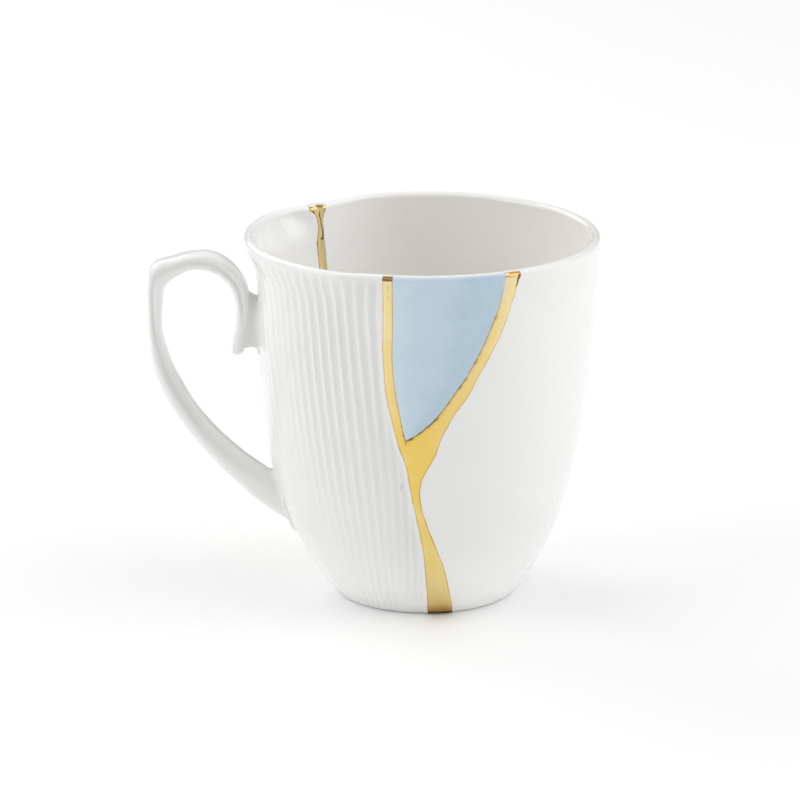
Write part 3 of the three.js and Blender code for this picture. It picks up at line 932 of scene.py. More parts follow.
@dataclass
class Shard:
    """A shard of the cup between two broken edges, counted so that the angle rises across it."""

    node: str
    slot: str
    start: Curve
    end: Curve
    columns: int
    finish: WhiteGlaze | BlueGlaze
    above: int = 36
    below: int = 48
    floor_rows: int = 24
    end_turn: float = 0.0
    ring_height: float = 0.02

    def angles(self, stations: Stations) -> np.ndarray:
        """Angles in even steps from one broken edge to the other.

        Args:
            stations: the stations.

        Returns:
            A row of angles for each station.
        """
        start = self.start(stations.share)[:, None]
        end = self.end(stations.share)[:, None] + self.end_turn
        return start + (end - start) * np.linspace(0.0, 1.0, self.columns + 1)[None, :]

    def radius(self, angle: np.ndarray, level: np.ndarray) -> np.ndarray:
        """Outer radius of the shard, the same all round."""
        return np.broadcast_to(CUP.plain_radius(level), np.broadcast_shapes(level.shape, angle.shape))

    def relief(self, angle: np.ndarray, z: np.ndarray) -> tuple[np.ndarray, np.ndarray]:
        """How deep the outer face is cut, in millimetres and as a share: nowhere here."""
        none = np.zeros(np.broadcast_shapes(angle.shape, z.shape))
        return none, none

    def sink(self, angle: np.ndarray, share: np.ndarray) -> np.ndarray:
        """How far the rim is lowered beside the back seam."""
        return CUP.plain_dip(angle, share)

    def face(self, face: Face) -> tuple[np.ndarray, dict[str, np.ndarray]]:
        """One face of the shard down the wall.

        A point stands at the cup's radius less its station's inset, less the relief.

        Args:
            face: which face.

        Returns:
            Points of shape (stations, columns, 3), and their marks.
        """
        stations = CUP.stations(face, self.above, self.below)
        angle = self.angles(stations)
        level = stations.level[:, None]
        z = stations.z[:, None] - self.sink(angle, stations.share[:, None])
        radius = self.radius(angle, level) - stations.inset[:, None]
        cut, depth = self.relief(angle, stations.z[:, None])
        radius = radius - (cut if face is Face.OUTER else 0.0)
        seam = self.seam_distance(stations, angle, radius)
        facing_in = 0.5 - 0.5 * stations.out[:, None]
        if face is Face.INNER:
            facing_in = np.where(stations.up[:, None] > 0.0, facing_in, 1.0)
        on_ring = (stations.z[:, None] < self.ring_height) & (face is Face.OUTER)
        width = np.maximum(angle[:, -1:] - angle[:, :1], 1e-6)
        marks = {
            # The flutes' depth, which the glaze reads as painted shade.
            "flute": depth if face is Face.OUTER else np.zeros_like(depth),
            "seam": seam,
            # Full inside colour from partway round the lip's outer turn; on the blue shard this white over
            # the lip is partly a painted highlight.
            "inside": smooth(facing_in, 0.1, 0.3),
            "across": (angle - angle[:, :1]) / width,
            "bare": np.where(on_ring, 1.0, 0.0),
        }
        return polar(radius, angle, z), marks

    def seam_distance(self, stations: Stations, angle: np.ndarray, radius: np.ndarray) -> np.ndarray:
        """Distance of each point from the nearest broken edge: the level arc, divided by how much
        longer it is than the shortest way.

        Args:
            stations: the stations.
            angle: angles of the points.
            radius: their distances from the axis.

        Returns:
            Distances in millimetres.
        """
        nearest = np.full(angle.shape, 1e3)
        for edge, column in ((self.start, 0), (self.end, -1)):
            away = np.radians(np.abs(angle - angle[:, column][:, None])) * radius
            slant = CUP.slant(edge, stations.share, radius[:, column])
            nearest = np.minimum(nearest, away / slant[:, None])
        return nearest

    def floor_patch(self, arc: np.ndarray, face: Face) -> np.ndarray:
        """The shard's part of the floor: straight lines from the arc where the wall ends to the chord
        between its ends.

        Args:
            arc: points along the arc.
            face: the underside for the outer face, and the upper face for the inner one.

        Returns:
            Points of shape (rows, columns, 3).
        """
        along = np.linspace(0.0, 1.0, len(arc))[:, None]
        chord = arc[0] * (1.0 - along) + arc[-1] * along
        patch = between(arc, chord, np.linspace(0.0, 1.0, self.floor_rows + 1)).transpose(1, 0, 2)
        if face is Face.INNER:
            patch[1:, :, 2] = CUP.floor_height(np.hypot(patch[1:, :, 0], patch[1:, :, 1]))
        return patch

    def fill(self, sheet: Sheet) -> None:
        """Gathers the shard's faces: both sides of the wall, the floor and the broken edges.

        Args:
            sheet: the mesh that is being gathered.
        """
        outer, outer_marks = self.face(Face.OUTER)
        inner, inner_marks = self.face(Face.INNER)
        sheet.add(outer, outer_marks)
        sheet.add(inner, inner_marks)
        for column in (0, -1):
            close_edge(sheet, outer[:, column], inner[:, column])
        if self.below:
            under = self.floor_patch(outer[-1], Face.OUTER)
            over = self.floor_patch(inner[-1], Face.INNER)
            for patch, inside in ((under, 0.0), (over, 1.0)):
                to_chord = np.linalg.norm(patch[-1:] - patch, axis=-1)
                sheet.add(patch, {"seam": to_chord, "inside": inside})
            close_edge(sheet, under[-1], over[-1])

    def build(self) -> bpy.types.Object:
        """Makes the shard in place of its solid.

        Returns:
            The piece.
        """
        sheet = Sheet()
        self.fill(sheet)
        return dress(sheet.make(f"{self.node}_glazed"), self.node, self.finish.build())


@dataclass
class FlutedShard(Shard):
    """The fluted shard, with its own fuller form and the handle."""

    def radius(self, angle: np.ndarray, level: np.ndarray) -> np.ndarray:
        """Outer radius of the fluted shard, without its flutes."""
        return CUP.fluted_radius(angle, level)

    def relief(self, angle: np.ndarray, z: np.ndarray) -> tuple[np.ndarray, np.ndarray]:
        """How deep the flutes are cut, in millimetres and as a share."""
        depth = CUP.flute(angle, z)
        return CUP.flute_depth * depth, depth

    def sink(self, angle: np.ndarray, share: np.ndarray) -> np.ndarray:
        """How far the rim is lowered beside the back seam."""
        return CUP.back_step_down * CUP.back_step(angle, share)

    def fill(self, sheet: Sheet) -> None:
        """Gathers the shard and the handle that was fired with it."""
        super().fill(sheet)
        Handle().fill(sheet)


def through(points: np.ndarray, u: np.ndarray) -> np.ndarray:
    """A smooth path through points, a centripetal Catmull-Rom curve.

    Between two points it is the cubic that takes both, with the slopes of the parabolas through
    each point and its neighbours, where the steps are the square roots of the distances.

    Args:
        points: the points, one row each.
        u: shares of the way, even from point to point.

    Returns:
        Points of the path.
    """
    last = len(points) - 1
    padded = np.vstack([2.0 * points[0] - points[1], points, 2.0 * points[-1] - points[-2]])
    place = np.clip(u * last, 0.0, last - 1e-9)
    index = place.astype(int)
    w = (place - index)[:, None]
    p0, p1, p2, p3 = (padded[index + k] for k in range(4))
    d0, d1, d2 = (
        np.sqrt(np.linalg.norm(b - a, axis=1, keepdims=True)) for a, b in ((p0, p1), (p1, p2), (p2, p3))
    )
    slope1 = ((p1 - p0) / d0 - (p2 - p0) / (d0 + d1) + (p2 - p1) / d1) * d1
    slope2 = ((p2 - p1) / d1 - (p3 - p1) / (d1 + d2) + (p3 - p2) / d2) * d1
    low = (1.0 + 2.0 * w) * (1.0 - w) ** 2 * p1 + w * (1.0 - w) ** 2 * slope1
    high = (3.0 - 2.0 * w) * w**2 * p2 - w**2 * (1.0 - w) * slope2
    return low + high


@dataclass(frozen=True)
class Handle:
    """A ridged strap that leaves the belly, loops over and ends in a scroll, and its lug."""

    reach: float = 30.0
    width: float = 8.6
    thickness: float = 3.9
    channel: float = 0.7
    channel_spread: float = 0.16
    channel_place: Curve = Curve((
        (0.0, 0.14), (0.28, 0.12), (0.42, -0.1), (0.55, -0.06), (0.7, 0.0), (1.0, 0.0),
    ))
    channel_end: float = 0.82
    channel_fade: float = 0.1
    angle: float = 180.0
    base_share: float = 0.7
    root_share: float = 0.247
    root_length: float = 16.4
    root_width: float = 10.5
    root_run: float = 0.2
    root_pull: float = 0.8
    tip_run: float = 0.028
    edge_power: float = 0.9
    face_power: float = 0.75
    lug_low: float = 0.674
    lug_high: float = 0.806
    lug_rise: float = 4.2
    lug_width: float = 6.4
    lug_wall_width: float = 5.2
    lug_arch: float = 0.6
    lug_out: float = 0.14
    # Share of the painted shade grey over the whole lug, which lies in the handle's shadow.
    lug_shade: float = 0.5
    fillet: float = 1.4
    lug_fillet: float = 2.0
    fillet_top: float = 0.25
    sides: int = 64
    path_rings: int = 200
    tip_rings: int = 13
    root_rings: int = 48
    lug_rings: int = 32
    unstained: float = 20.0
    line: tuple[tuple[float, float, float], ...] = (
        (0.0137, 0.3021, 2.05), (0.2189, 0.355, 1.78), (0.4525, 0.4272, 1.584), (0.6293, 0.4969, 1.499),
        (0.7586, 0.5638, 1.487), (0.855, 0.6312, 1.328), (0.9148, 0.7201, 1.033), (0.9179, 0.8, 1.1),
        (0.9051, 0.8524, 1.26), (0.8565, 0.887, 1.663), (0.7338, 0.9066, 1.313), (0.5998, 0.9204, 1.198),
        (0.441, 0.9208, 1.311), (0.3045, 0.9011, 1.235), (0.1873, 0.86, 1.129), (0.143, 0.81, 1.04),
        (0.145, 0.76, 0.95), (0.172, 0.712, 0.9), (0.2, 0.659, 1.08),
    )

    def point(self, out: np.ndarray, up: np.ndarray) -> np.ndarray:
        """Points in the handle's plane.

        Args:
            out: distances from the cup as shares of the handle's reach.
            up: heights as shares of the mug's height.

        Returns:
            The points.
        """
        base = CUP.plain_radius(self.base_share * CUP.height)
        out, up = np.broadcast_arrays(np.asarray(out, float), np.asarray(up, float))
        return np.stack([-(base + out * self.reach), np.zeros_like(out), up * CUP.height], axis=-1)

    def section(
        self, length: np.ndarray, width: np.ndarray, channel: np.ndarray, place: np.ndarray
    ) -> tuple[np.ndarray, np.ndarray, np.ndarray]:
        """A squared oval with a shallow channel down each side face.

        Along is half the length times a power of the cosine, and across is half the width less the
        channel's bell, times a power of the sine.

        Args:
            length: length of each section in the handle's plane.
            width: its width across the plane.
            channel: depth of its channels.
            place: the channels' middle, as a share of the length.

        Returns:
            Distances along and across for each section and side, and how deep in a channel it is.
        """
        turn = 2.0 * np.pi * (np.arange(self.sides) + 0.5) / self.sides
        cosine, sine = np.cos(turn), np.sin(turn)
        length, width, channel, place = (
            np.asarray(v, float).reshape(-1, 1) for v in (length, width, channel, place)
        )
        along = length / 2.0 * np.sign(cosine) * np.abs(cosine) ** self.edge_power
        dip = channel * bell((along / length - place) / self.channel_spread)
        across = np.sign(sine) * np.abs(sine) ** self.face_power * (width / 2.0 - dip)
        return along, across, dip / self.channel

    def root_ring(self, height: float, length: float, width: float) -> np.ndarray:
        """A section laid in the middle of the cup's wall.

        Args:
            height: height of its centre.
            length: its length up the wall.
            width: its width across.

        Returns:
            The ring, each point on the circle of the wall's middle at its height.
        """
        along, across, _ = self.section(length, width, 0.0, 0.0)
        z = height + along[0]
        radius = CUP.fluted_radius(np.full_like(z, self.angle), z) - CUP.wall / 2.0
        return np.stack([-np.sqrt(radius**2 - across[0] ** 2), across[0], z], axis=-1)

    def strap(self) -> tuple[np.ndarray, np.ndarray]:
        """The strap: its section carried square to the path, wider and taller at the root, and
        closed round at the tip.

        Returns:
            Its rings, and how deep in a channel each point is.
        """
        ends = 1.0 - self.tip_run * (1.0 - np.sin(np.linspace(0.0, np.pi / 2.0, self.tip_rings + 1)))
        u = np.concatenate([np.linspace(0.0, 1.0 - self.tip_run, self.path_rings)[:-1], ends])
        path = self.point(*np.array(self.line).T[:2])
        centre = through(path, u)
        nudge = 1e-4
        forward = through(path, u + nudge) - through(path, u - nudge)
        forward /= np.linalg.norm(forward, axis=1, keepdims=True)
        side = np.stack([-forward[:, 2], np.zeros_like(u), forward[:, 0]], axis=-1)
        multiples = Curve(tuple((float(k), entry[2]) for k, entry in enumerate(self.line)))
        leaving = smooth(u, 0.0, self.root_run)
        closing = np.clip((u - 1.0 + self.tip_run) / self.tip_run, 0.0, 1.0)
        ending = np.sqrt(np.maximum(1e-6, 1.0 - closing**2))
        length = self.thickness * multiples(u * (len(self.line) - 1)) * ending
        width = (self.root_width + (self.width - self.root_width) * leaving) * ending
        ended = smooth(u, self.channel_end, self.channel_end + self.channel_fade)
        depth = self.channel * leaving * (1.0 - ended)
        along, across, deep = self.section(length, width, depth, self.channel_place(u))
        rings = centre[:, None, :] - along[:, :, None] * side[:, None, :]
        rings[:, :, 1] = across
        return rings, deep

    def flare(self, rings: np.ndarray, radius: float) -> np.ndarray:
        """Spreads a root where it meets the cup, as glaze does, and less on its upper side.

        A point at a distance d from the cup, less than the fillet's radius R, moves out along the
        normal by R - sqrt(R^2 - (R - d)^2), so that the surface ends flat on the cup.

        Args:
            rings: points of shape (rows, sides, 3).
            radius: the fillet's radius.

        Returns:
            The points, moved.
        """
        angle = np.degrees(np.arctan2(rings[..., 1], rings[..., 0]))
        cup = CUP.fluted_radius(np.mod(angle, 360.0), rings[..., 2])
        gap = np.clip(np.hypot(rings[..., 0], rings[..., 1]) - cup, 0.0, radius)
        spread = radius - np.sqrt(radius**2 - (radius - gap) ** 2)
        middle = rings.mean(axis=1, keepdims=True)
        round_way = np.roll(rings, -1, axis=1) - np.roll(rings, 1, axis=1)
        run = np.gradient(rings, axis=0)
        normal = np.cross(round_way, run)
        normal /= np.maximum(np.linalg.norm(normal, axis=-1, keepdims=True), 1e-9)
        facing = np.sign(np.sum(normal * (rings - middle), axis=(-2, -1), keepdims=True))
        outward = normal * facing
        share = 1.0 - (1.0 - self.fillet_top) * np.clip(outward[..., 2], 0.0, 1.0)
        return rings + outward * (spread * share)[..., None]

    def root(self, first: np.ndarray, second: np.ndarray) -> np.ndarray:
        """Rings from inside the wall out to the strap.

        Each side follows a cubic that leaves the wall straight and takes up the strap's direction.

        Args:
            first: the strap's first ring.
            second: its second ring.

        Returns:
            The rings, without the strap's first.
        """
        start = self.root_ring(self.root_share * CUP.height, self.root_length, self.root_width)
        way = np.linspace(0.0, 1.0, self.root_rings + 1)[:-1, None, None]
        chord = first - start
        onward = second - first
        onward = onward / np.linalg.norm(onward, axis=-1, keepdims=True)
        onward = onward * np.linalg.norm(chord, axis=-1, keepdims=True) * self.root_pull
        low = (1.0 + 2.0 * way) * (1.0 - way) ** 2 * start + way * (1.0 - way) ** 2 * chord
        return low + (3.0 - 2.0 * way) * way**2 * first - way**2 * (1.0 - way) * onward

    def lug(self) -> np.ndarray:
        """Rings of the lug, from inside the wall to inside the strap.

        It widens and its top rises towards the strap, and its lower side is an arch, a parabola
        along the way.

        Returns:
            The rings.
        """
        middle = (self.lug_high + self.lug_low) / 2.0 * CUP.height
        length = (self.lug_high - self.lug_low) * CUP.height
        start = self.root_ring(middle, length, self.lug_wall_width)
        along, across, _ = self.section(length + self.lug_rise, self.lug_width, 0.0, 0.0)
        x = np.full_like(across[0], self.point(self.lug_out, 0.0)[0])
        end = np.stack([x, across[0], middle + self.lug_rise / 2.0 + along[0]], axis=-1)
        way = np.linspace(0.0, 1.0, self.lug_rings + 1)
        rings = between(start, end, way).transpose(1, 0, 2)
        low = np.clip(-along[0] / along[0].max(), 0.0, 1.0)
        rings[..., 2] += self.lug_arch * (4.0 * way * (1.0 - way))[:, None] * low[None, :]
        return rings

    def fill(self, sheet: Sheet) -> None:
        """Gathers the strap and the lug, closed at both ends, with painted shade marked in the channels and
        over the lug.

        Args:
            sheet: the mesh that is being gathered.
        """
        strap, deep = self.strap()
        root = self.root(strap[0], strap[1])
        body = self.flare(np.concatenate([root, strap]), self.fillet)
        deep = np.concatenate([np.zeros(root.shape[:2]), deep])
        lug = self.flare(self.lug(), self.lug_fillet)
        # The channels' depth, and a share over the lug, go to the mark that the glaze reads as painted shade.
        for rings, hollow_shade in ((body, deep), (lug, np.full(lug.shape[:2], self.lug_shade))):
            ends = rings[[0, -1]]
            tips = np.broadcast_to(ends.mean(axis=1, keepdims=True), ends.shape)
            flute = np.concatenate([hollow_shade[:1], hollow_shade, hollow_shade[-1:]])
            closed = np.concatenate([tips[:1], rings, tips[1:]])
            sheet.add(closed, {"seam": self.unstained, "flute": flute}, loop=True)


@dataclass(frozen=True)
class Trace:
    """A dark line worn through the gold, through points of angle, height share and half width."""

    face: Face
    points: tuple[tuple[float, float, float], ...]
    depth: float = 1.0
    core: float = 0.6
    halo: float = 1.5

    def mark(self, angle: np.ndarray, z: np.ndarray, radius: np.ndarray) -> np.ndarray:
        """How worn the gold is: its full depth on the line, and 0 from a little beside it.

        The distance to each straight piece is taken on the unrolled wall, and is weighed against
        the half width at the nearest place of that piece.

        Args:
            angle: angles of the points in degrees.
            z: their heights.
            radius: their distances from the cup's axis.

        Returns:
            The wear, from 0 to the trace's depth.
        """
        worn = np.zeros_like(z)
        for (angle_a, share_a, wide_a), (angle_b, share_b, wide_b) in zip(self.points, self.points[1:]):
            across = np.radians(angle_b - angle_a) * radius
            down = (share_b - share_a) * CUP.height
            x = np.radians(angle - angle_a) * radius
            y = z - share_a * CUP.height
            way = np.clip((x * across + y * down) / (across**2 + down**2), 0.0, 1.0)
            away = np.hypot(x - way * across, y - way * down)
            wide = wide_a + (wide_b - wide_a) * way
            worn = np.maximum(worn, 1.0 - smooth(away / wide, self.core, self.halo))
        return self.depth * worn


@dataclass(frozen=True)
class LipLine:
    """A brown line round the lip: how far its middle is under the crest, its spread and its wear."""

    middle: float
    spread: float
    wear: float

    def mark(self, under_lip: np.ndarray) -> np.ndarray:
        """How worn the gold is, a bell about the line's middle."""
        return self.wear * bell((under_lip - self.middle) / self.spread)


@dataclass
class GoldSeam:
    """The gold that joins the shards: two front branches, the stem, the floor and the back."""

    node: str = "gold_seam"
    slot: str = "gold_lustre"
    above: int = 120
    below: int = 96
    branch_columns: int = 14
    floor_rows: int = 60
    overlap: float = 0.2
    height: float = 0.3
    dip: float = 0.05
    shoulder: float = 1.3
    wobble: float = 0.06
    lip_share: float = 0.1
    lip_share_low: float = 5.0
    lip_share_high: float = 1.0
    rise_power: float = 2.2
    step_start: float = 0.3
    line_run: float = 0.16
    free_run: float = 0.006
    outline_steps: int = 300
    chord_steps: int = 199
    chunk: int = 400
    front_line: LipLine = LipLine(0.46, 0.2, 0.9)
    front_line_gap: tuple[float, float] = (-64.6, 2.2)
    back_line: LipLine = LipLine(0.6, 0.24, 0.9)
    back_line_start: tuple[float, float] = (129.0, 131.0)
    foot_line: tuple[float, float] = (0.75, 1.15)
    foot_wear: float = 1.5
    lip_amber: tuple[float, float] = (0.8, 1.4)
    front_amber: float = 0.8
    back_amber: float = 0.3
    foot_amber: float = 0.75
    foot_amber_rise: tuple[float, float] = (1.2, 4.2)
    # Painted highlight: the gold turns white over the lip's crest and beside the right branch's gap.
    front_glare: tuple[float, float] = (0.12, 0.3)
    back_glare: tuple[float, float] = (0.2, 0.38)
    gap_glare: float = 0.5
    gap_glare_place: tuple[float, float] = (-64.2, 1.2)
    gap_glare_rise: tuple[float, float] = (88.0, 96.0)
    # Painted sheen: the gold across the floor takes a fixed share, the front gold more or less by height as
    # it reflects brighter surroundings, and the back gold takes it in full.
    floor_sheen: float = 0.5
    painted_sheen: Curve = Curve((
        (0.0, 0.3), (12.0, 0.5), (20.0, 0.4), (35.0, 0.1), (45.0, 0.0), (55.0, 0.05), (65.0, 0.45),
        (80.0, 0.65), (98.0, 1.0),
    ))
    traces: tuple[Trace, ...] = (
        Trace(Face.INNER, (
            (132.8, 0.984, 0.2), (132.9, 0.968, 0.35), (132.45, 0.956, 0.28), (132.0, 0.939, 0.3),
            (131.2, 0.922, 0.45), (130.8, 0.909, 0.7), (131.0, 0.903, 0.7), (131.9, 0.9, 0.5),
        ), 0.9),
        Trace(Face.INNER, ((134.4, 0.906, 0.12), (133.9, 0.89, 0.2), (133.8, 0.87, 0.1)), 0.6),
        Trace(Face.OUTER, ((-98.4, 0.59, 0.14), (-97.6, 0.559, 0.17), (-96.7, 0.53, 0.17)), 0.62),
        Trace(Face.OUTER, ((-58.6, 0.99, 0.3), (-59.3, 0.975, 0.38), (-59.9, 0.958, 0.2))),
        Trace(Face.OUTER, ((-101.85, 0.9719, 0.12), (-101.85, 0.9709, 0.12)), 0.7),
        Trace(Face.OUTER, ((-101.9, 0.9458, 0.12), (-101.9, 0.9448, 0.12)), 0.7),
    )

    lines: dict[Face, np.ndarray] = field(default_factory=dict, init=False)

    def edges(self, stations: Stations) -> tuple[np.ndarray, np.ndarray, np.ndarray, np.ndarray]:
        """Angles of the front's four edges, each moved under its shard by the overlap.

        Below the blue tip the two middle ones are one line, which runs on to the middle of the
        stem.

        Args:
            stations: where to read them.

        Returns:
            The fluted edge, the blue shard's left and right edges, and the plain edge.
        """
        share = stations.share
        fluted = CUP.fluted_edge(share)
        plain = CUP.plain_edge(share)
        stem = (fluted + plain) / 2.0
        tip = CUP.blue_tip_share
        lined = stem + (CUP.blue_left_edge(tip) - stem) * smooth(share, tip - self.line_run, tip)
        free = smooth(share, tip, tip + self.free_run)
        left = CUP.blue_left_edge(share) + self.spread(CUP.blue_left_edge, share) * free
        right = CUP.blue_right_edge(share) - self.spread(CUP.blue_right_edge, share) * free
        return (
            fluted - self.spread(CUP.fluted_edge, share),
            np.where(share > tip, left, lined),
            np.where(share > tip, right, lined),
            plain + self.spread(CUP.plain_edge, share),
        )

    def spread(self, edge: Curve, share: np.ndarray) -> np.ndarray:
        """The overlap as degrees along the level arc.

        Args:
            edge: the broken edge.
            share: shares of the height.

        Returns:
            Degrees: the overlap times the edge's slant, over the radius.
        """
        radius = CUP.plain_radius(share * CUP.height)
        return np.degrees(self.overlap / radius) * CUP.slant(edge, share, radius)

    def back_edges(self, stations: Stations) -> tuple[np.ndarray, np.ndarray]:
        """Angles of the back seam's edges, moved under the shards.

        Args:
            stations: where to read them.

        Returns:
            The fluted edge and the plain edge.
        """
        share = stations.share
        fluted, plain = CUP.fluted_back_edge, CUP.plain_back_edge
        return fluted(share) + self.spread(fluted, share), plain(share) - self.spread(plain, share)

    def outlines(self, face: Face) -> np.ndarray:
        """Points close together along all the borders of the gold.

        Args:
            face: the face of the wall, and of the floor.

        Returns:
            The points, one row each.
        """
        stations = CUP.stations(face, self.outline_steps, self.outline_steps)
        radius = CUP.plain_radius(stations.level) - stations.inset
        fluted, blue_left, blue_right, plain = self.edges(stations)
        fluted_back, plain_back = self.back_edges(stations)
        lines = [polar(radius, edge, stations.z) for edge in (fluted, plain, fluted_back, plain_back)]
        above = stations.share >= CUP.blue_tip_share
        for edge in (blue_left, blue_right):
            lines.append(polar(radius[above], edge[above], stations.z[above]))
        way = np.linspace(0.0, 1.0, self.chord_steps + 1)
        for front, back in ((lines[0][-1], lines[2][-1]), (lines[1][-1], lines[3][-1])):
            chord = between(front[None], back[None], way)[0]
            if face is Face.INNER:
                chord[:, 2] = CUP.floor_height(np.hypot(chord[:, 0], chord[:, 1]))
            lines.append(chord)
        return np.concatenate(lines)

    def distance(self, points: np.ndarray, outlines: np.ndarray) -> np.ndarray:
        """Distances from the shards' edges, negative under a shard.

        It is the distance to the nearest point of the gold's own border, less the overlap.

        Args:
            points: the points.
            outlines: points along the borders.

        Returns:
            Distances in millimetres.
        """
        flat = points.reshape(-1, 3)
        nearest = [
            np.sqrt(np.min(np.sum((part[:, None, :] - outlines[None]) ** 2, axis=-1), axis=1))
            for part in np.array_split(flat, max(1, len(flat) // self.chunk))
        ]
        return np.concatenate(nearest).reshape(points.shape[:-1]) - self.overlap

    def lift(self, border: np.ndarray, points: np.ndarray) -> np.ndarray:
        """Height of the gold over the cup: it rises from under the glaze to a low rounded back.

        The rise is 1 less a power of the share of the shoulder's width that is left, and slow waves
        along the seam, a sum of three sines, make it uneven, as a brush does.

        Args:
            border: distance from the shards' edges.
            points: the points, for the waves.

        Returns:
            Heights in millimetres.
        """
        x, y, z = np.moveaxis(points, -1, 0)
        waves = np.sin(0.55 * z + 0.31 * x) + 0.6 * np.sin(1.13 * z - 0.42 * y + 1.0)
        waves = waves + 0.5 * np.sin(2.3 * z + 0.9 * x + 2.0)
        width = self.shoulder + self.overlap
        near = np.clip((border + self.overlap + self.wobble * waves * 0.5) / width, 0.0, 1.0)
        rise = 1.0 - (1.0 - near) ** self.rise_power
        return -self.dip + (self.height + self.dip) * rise * (1.0 + 0.05 * waves)

    def band(
        self, face: Face, stations: Stations, start: np.ndarray, end: np.ndarray, ways: np.ndarray, back: bool
    ) -> tuple[np.ndarray, dict[str, np.ndarray]]:
        """One band of gold down the wall.

        Its points lie on the cup's face, moved out along the normal by the gold's height there.
        Beside the back seam the face itself steps from the fluted rim to the plain one.

        Args:
            face: the face of the wall.
            stations: its stations.
            start: angles of one edge.
            end: angles of the other edge.
            ways: the columns, as shares from start to end.
            back: whether it is the back one, with the fluted rim's step at its start.

        Returns:
            Points of shape (stations, columns, 3), and their marks.
        """
        angle = start[:, None] + (end - start)[:, None] * ways[None, :]
        down = np.zeros_like(angle)
        base = np.broadcast_to(CUP.plain_radius(stations.level)[:, None], angle.shape)
        plain = polar(base - stations.inset[:, None], angle, stations.z[:, None])
        border = self.distance(plain, self.lines[face])
        if back:
            share = stations.share[:, None]
            way = smooth(ways, self.step_start, 1.0)
            edge = CUP.back_step(CUP.fluted_back_edge(share), share) * (1.0 - way)
            base = base - CUP.back_step_in * edge
            down = CUP.back_step_down * edge + CUP.plain_dip(CUP.plain_back_edge(share), share) * way
        radius = base - stations.inset[:, None]
        z = stations.z[:, None] - down
        flat = polar(radius, angle, z)
        low, high = CUP.height - self.lip_share_low, CUP.height - self.lip_share_high
        lower = 1.0 - (1.0 - self.lip_share) * smooth(stations.z, low, high)
        lift = self.lift(border, flat) * (stations.proud * lower)[:, None]
        points = polar(radius + lift * stations.out[:, None], angle, z + lift * stations.up[:, None])
        level = np.broadcast_to(stations.z[:, None], angle.shape)
        return points, {"border": border, **self.marks(face, angle, radius, level, back)}

    def marks(
        self, face: Face, angle: np.ndarray, radius: np.ndarray, z: np.ndarray, back: bool
    ) -> dict[str, np.ndarray]:
        """Marks for the gold's material.

        Gold is worn in a line round the lip, at the foot and along the traces, and amber at the lip and above
        the foot. It is paler with painted sheen by height, and white with a painted highlight on the lip's
        crest and beside the right branch's gap.

        Args:
            face: the face of the wall.
            angle: angles of the band's points.
            radius: their distances from the axis.
            z: their heights.
            back: whether the band is the back one.

        Returns:
            How worn and amber the gold is, and its painted sheen and painted highlight.
        """
        under_lip = CUP.height - z
        outside = 1.0 if face is Face.OUTER else 0.0
        if back:
            brown = (1.0 - outside) * self.back_line.mark(under_lip) * smooth(angle, *self.back_line_start)
        else:
            middle, spread = self.front_line_gap
            brown = outside * self.front_line.mark(under_lip) * (1.0 - bell((angle - middle) / spread))
        worn = np.maximum(brown, self.foot_wear * outside * (1.0 - smooth(z, *self.foot_line)))
        for trace in self.traces:
            if trace.face is face:
                worn = np.maximum(worn, trace.mark(angle, z, radius))
        at_lip = 1.0 - smooth(under_lip, *self.lip_amber)
        lip_amber = at_lip * (self.back_amber if back else self.front_amber)
        foot_amber = self.foot_amber * outside * (1.0 - smooth(z, *self.foot_amber_rise))
        # Painted highlight beside the right branch's gap and over the lip's crest.
        middle, spread = self.gap_glare_place
        gap = self.gap_glare * bell((angle - middle) / spread) * smooth(z, *self.gap_glare_rise)
        crest = 1.0 - smooth(under_lip, *(self.back_glare if back else self.front_glare))
        return {
            "worn": worn,
            "amber": lip_amber + foot_amber,
            # Painted sheen: full on the back band, by height on the front.
            "pale": np.ones_like(z) if back else self.painted_sheen(z),
            "rubbed": np.maximum(crest, gap),
        }

    def fill(self, sheet: Sheet) -> None:
        """Gathers the bands on both faces, the floor between them and the edges under the shards.

        Args:
            sheet: the mesh that is being gathered.
        """
        ways = eased(self.branch_columns)
        both = eased(2 * self.branch_columns)
        rows: dict[Face, tuple[np.ndarray, ...]] = {}
        to_tip = CUP.lip_steps + self.above + 1
        for face in Face:
            stations = CUP.stations(face, self.above, self.below)
            fluted, blue_left, blue_right, plain = self.edges(stations)
            left, left_marks = self.band(face, stations, fluted, blue_left, ways, False)
            right, right_marks = self.band(face, stations, blue_right, plain, ways, False)
            fluted_back, plain_back = self.back_edges(stations)
            back, back_marks = self.band(face, stations, fluted_back, plain_back, both, True)
            for points, marks in ((left, left_marks), (right, right_marks), (back, back_marks)):
                sheet.add(points, marks)
            rows[face] = (left, right, back)
            front_end = np.concatenate([left[-1], right[-1][1:]])
            sheet.add(*self.floor_band(face, front_end, back[-1]))
        outer, inner = rows[Face.OUTER], rows[Face.INNER]
        full_edges = ((0, 0, None), (1, -1, None), (2, 0, None), (2, -1, None))
        blue_edges = ((0, -1, to_tip), (1, 0, to_tip))
        for index, column, last in full_edges + blue_edges:
            close_edge(sheet, outer[index][:last, column], inner[index][:last, column], worn=1.0)
        for front, back_column in (((0, 0), 0), ((1, -1), -1)):
            sides = []
            for face in Face:
                first = rows[face][front[0]][-1, front[1]][None]
                last_point = rows[face][2][-1, back_column][None]
                line, _ = self.floor_line(face, first, last_point)
                sides.append(line[:, 0])
            close_edge(sheet, sides[0], sides[1], worn=1.0)

